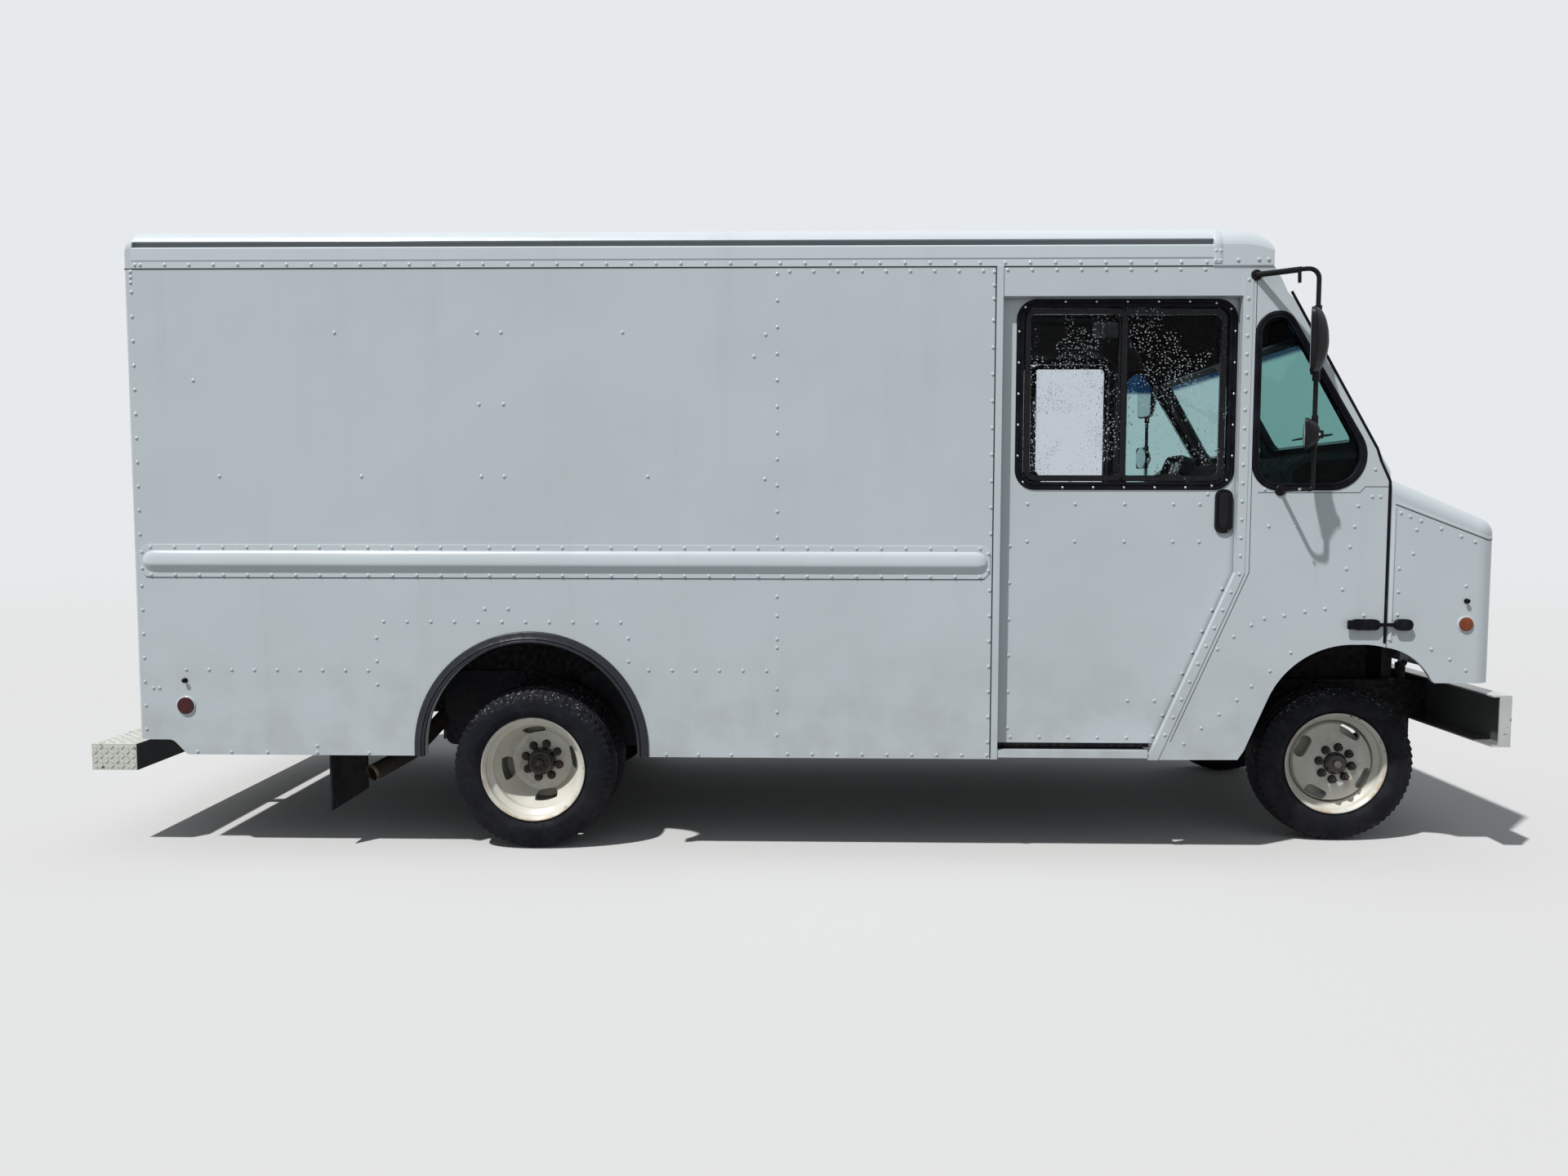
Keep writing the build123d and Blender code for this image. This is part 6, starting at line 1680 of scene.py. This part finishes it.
class VAN_OT_underside(bpy.types.Operator):
    """U-bolts and shock absorbers at the springs, tank straps, the pipe's end, flap bars and aprons,
    black sheets inside the rear tyres that also stand in for shade
    """

    bl_idname = "van.underside"
    bl_label = "Underside"

    def execute(self, context):
        pieces = []
        spring_y, apart, wide = 0.395, 0.068, 0.045
        nut_below = plate(circle(0.014, 6), [(0, 0), (0, 0.012), (0.002, 0.014)])
        for side in sides.values():
            y = side * spring_y
            rear_loop, front_loop = (wheel_z - 0.075, wheel_z + 0.102), (0.298, 0.420)
            for x, (low_z, high_z) in ((axle_rear, rear_loop), (axle_front, front_loop)):
                for shift in (-apart, apart):
                    left, right = y - wide, y + wide
                    bends = [(x + shift, *bend) for bend in
                             ((left, low_z), (left, high_z), (right, high_z), (right, low_z))]
                    pieces.append(tube(rounded(bends, [0, 0.018, 0.018, 0], 6, False), 0.008))
                foot = (x - 0.080, y - 0.062, low_z + 0.004)
                pieces.append(block(foot, (x + 0.080, y + 0.062, low_z + 0.018), 0.004))
                ends = [(x + a * apart, y + b * wide, low_z + 0.006) for a in (-1, 1) for b in (-1, 1)]
                pieces.append(stamp(nut_below, ends, X, -Y, -Z))
            for x, top, lean in ((axle_rear - 0.16, 0.700, -0.10), (axle_front + 0.14, 0.640, 0.10)):
                shock_y = side * 0.300
                foot, head = np.array([x, shock_y, 0.370]), np.array([x + lean, shock_y, top])
                middle = foot + 0.55 * (head - foot)
                pieces.append(tube(np.linspace(foot, middle, 5), 0.030))
                pieces.append(tube(np.linspace(middle, head, 4), 0.011))
        build("spring_clamps", join(*pieces), "chassis_black")
        low, high = (np.array(c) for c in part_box("fuel_tank"))
        straps = []
        for share in (0.22, 0.78):
            x = low[0] + share * (high[0] - low[0])
            outline = round_box(high[1] - low[1] + 0.006, high[2] - low[2] + 0.006, 0.05, 6)
            path = xyz(x, (low[1] + high[1]) / 2 + outline[:, 0], (low[2] + high[2]) / 2 + outline[:, 1])
            straps.append(swept(path, round_box(0.003, 0.040, 0.001, 3), X, closed=True))
        build("tank_straps", join(*straps), "tank_steel")
        end = np.array([axle_rear - 0.842, -1.010, 0.345])
        way = end - np.array([axle_rear - 0.700, -0.820, 0.420])
        way /= np.linalg.norm(way)
        aside = np.cross(way, Z)
        aside /= np.linalg.norm(aside)
        axes = (aside, np.cross(way, aside), way)

        def hoops(rows):
            """Rings of (radius, height) about the pipe's own line."""
            return np.stack([np.column_stack([circle(r, 32), np.full(32, h)]) for r, h in rows])

        lip = grid(hoops([(0.0438, -0.016), (0.0438, -0.004), (0.0425, 0.0), (0.0395, 0.0), (0.0380, -0.004),
                          (0.0380, -0.016)]), wrap_rows=True, wrap_columns=True)
        # A sooty lining closed by a black disc 88 mm in: soot, and painted shade where the pipe runs on into the
        # dark.
        soot = closed_ends(hoops([(0.0005, -0.0885), (0.0378, -0.0885), (0.0378, -0.005), (0.0370, -0.005),
                                  (0.0370, -0.0870), (0.0005, -0.0870)]))
        build("tailpipe_end", stamp(lip, [end], *axes), "exhaust_steel", finish=finishes["burnt_tan"])
        build("tailpipe_soot", stamp(soot, [end], *axes), "exhaust_steel", finish=finishes["soot"])
        flaps = []
        for side in sides.values():
            low_y, high_y = 0.660, 1.140
            x = axle_rear - 1.006
            flaps.append(block((x, side * low_y, 0.730), (axle_rear - 0.984, side * high_y, 0.768), 0.003))
            places = [(x, side * y, 0.749) for y in row(low_y + 0.04, high_y - 0.04, 0.1)]
            bolt = plate(circle(0.009, 6), [(0, 0), (0, 0.006), (0.002, 0.0075)])
            flaps.append(stamp(bolt, places, -Y, Z, -X))
        build("flap_bars", join(*flaps), "chassis_black")
        # Splash aprons inside the rear tyres, black: they also stand in for the shade in the arches and hide the
        # lit floor beyond.
        sheet = plate(round_box(0.44, 0.40, 0.05, 6), [(0, 0), (0, 0.004), (0.001, 0.005), (0.004, 0.005)])
        aprons = []
        for name, side in sides.items():
            inner_y = min(abs(corner.y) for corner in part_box(f"rear_tyres_{name}")) - 0.022
            places = [(axle_rear + s * 0.36, side * inner_y, 0.62) for s in (-1, 1)]
            aprons.append(stamp(sheet, places, *outward(side)))
        build("splash_aprons", join(*aprons), "flap_rubber")
        return {"FINISHED"}


# Stage


class VAN_OT_stage(bpy.types.Operator):
    """Floor, background, lights and the camera at the photograph's angle"""

    bl_idname = "van.stage"
    bl_label = "Stage"

    def execute(self, context):
        stage = context.scene.van_stage
        count = 96
        disc = np.column_stack([circle(60.0, count), np.zeros(count)])
        mesh = bpy.data.meshes.new("floor")
        mesh.from_pydata(disc.tolist(), [], [list(range(count))])
        floor = bpy.data.objects.new("floor", mesh)
        context.scene.collection.objects.link(floor)
        ground = Finish("pale floor", (0.62, 0.625, 0.63), 0.9, ior=1.5, gleam=0.1)
        dull = ground.node("BsdfDiffuse", {"Color": (0.26, 0.265, 0.27, 1)}).outputs[0]
        lights = ground.node("LightPath").outputs["Is Diffuse Ray"]
        bounce = ground.node("MixShader", {0: lights, 1: ground.shader.outputs[0], 2: dull}).outputs[0]
        length = ground.node("VectorMath", {0: ground.where}, operation="LENGTH").outputs["Value"]
        fade = ground.node("MapRange", {0: length, 1: 9.0, 2: 34.0}).outputs[0]
        clear = ground.node("BsdfTransparent").outputs[0]
        mixer = ground.node("MixShader", {0: fade, 1: bounce, 2: clear})
        ground.tree.links.new(mixer.outputs[0], ground.tree.nodes["Material Output"].inputs[0])
        mesh.materials.append(ground.material)

        world = bpy.data.worlds.new("studio")
        context.scene.world = world
        world.use_nodes = True
        tree = world.node_tree
        seen = tree.nodes["Background"]
        seen.inputs[0].default_value = (*stage.background, 1)
        lit = add_node(tree, "Background", {0: (0.93, 0.97, 1.0, 1), 1: stage.fill})
        rays = add_node(tree, "LightPath").outputs
        either = rays["Is Camera Ray"]
        for ray in ("Is Glossy Ray", "Is Transmission Ray"):
            either = add_node(tree, "Math", {0: either, 1: rays[ray]}, operation="MAXIMUM").outputs[0]
        mixer = add_node(tree, "MixShader", {0: either, 1: lit.outputs[0], 2: seen.outputs[0]})
        tree.links.new(mixer.outputs[0], tree.nodes["World Output"].inputs[0])

        key = bpy.data.lights.new("key light", "SUN")
        key.energy = stage.sun
        key.angle = math.radians(1.6)
        key.color = (1.0, 0.985, 0.96)
        key_object = bpy.data.objects.new("key light", key)
        travels = Vector((0.36, 0.40, -0.84))
        key_object.rotation_euler = travels.to_track_quat("-Z", "Y").to_euler()
        context.scene.collection.objects.link(key_object)

        camera = bpy.data.cameras.new("camera")
        sensor, focal_pixels, image_width = 36.0, 1441, 1920
        camera.sensor_width = sensor
        camera.lens = sensor * focal_pixels / image_width
        camera.clip_end = 200.0
        camera_object = bpy.data.objects.new("camera", camera)
        yaw, pitch, roll = math.radians(1.209), math.radians(3.932), math.radians(-0.086)
        level_right = Vector((math.cos(yaw), math.sin(yaw), 0))
        level_ahead = Vector((-math.sin(yaw), math.cos(yaw), 0))
        ahead = math.cos(pitch) * level_ahead - math.sin(pitch) * Vector((0, 0, 1))
        level_down = ahead.cross(level_right)
        right = math.cos(roll) * level_right + math.sin(roll) * level_down
        down = math.cos(roll) * level_down - math.sin(roll) * level_right
        axes = Matrix((right, -down, -ahead)).transposed()
        camera_object.matrix_world = Matrix.Translation((0.092, -6.803, 1.685)) @ axes.to_4x4()
        context.scene.collection.objects.link(camera_object)
        context.scene.camera = camera_object
        context.scene.view_settings.view_transform = "Standard"
        return {"FINISHED"}


# The panel and the run


settings = (
    ("van_paint", PaintSettings),
    ("van_rivets", RivetSettings),
    ("van_tyres", TyreSettings),
    ("van_stage", StageSettings),
)
operators = (
    VAN_OT_finishes,
    VAN_OT_rivets,
    VAN_OT_rails,
    VAN_OT_seams,
    VAN_OT_tyres,
    VAN_OT_wheels,
    VAN_OT_doors,
    VAN_OT_mirrors,
    VAN_OT_rubber,
    VAN_OT_lamps,
    VAN_OT_nose,
    VAN_OT_bumpers,
    VAN_OT_rear,
    VAN_OT_top,
    VAN_OT_driver,
    VAN_OT_underside,
    VAN_OT_stage,
)


class VAN_PT_panel(bpy.types.Panel):
    """The steps of the dressing, in order"""

    bl_idname = "VAN_PT_panel"
    bl_label = "Step van"
    bl_space_type = "VIEW_3D"
    bl_region_type = "UI"
    bl_category = "Step van"

    def draw(self, context):
        for operator in operators:
            self.layout.operator(operator.bl_idname)


def register():
    for pointer, group in settings:
        bpy.utils.register_class(group)
        setattr(bpy.types.Scene, pointer, PointerProperty(type=group))
    for operator in (*operators, VAN_PT_panel):
        bpy.utils.register_class(operator)


def unregister():
    for operator in reversed((*operators, VAN_PT_panel)):
        bpy.utils.unregister_class(operator)
    for pointer, group in reversed(settings):
        delattr(bpy.types.Scene, pointer)
        bpy.utils.unregister_class(group)


def main():
    register()
    for operator in operators:
        group, name = operator.bl_idname.split(".")
        getattr(getattr(bpy.ops, group), name)()


if __name__ == "__main__":
    main()
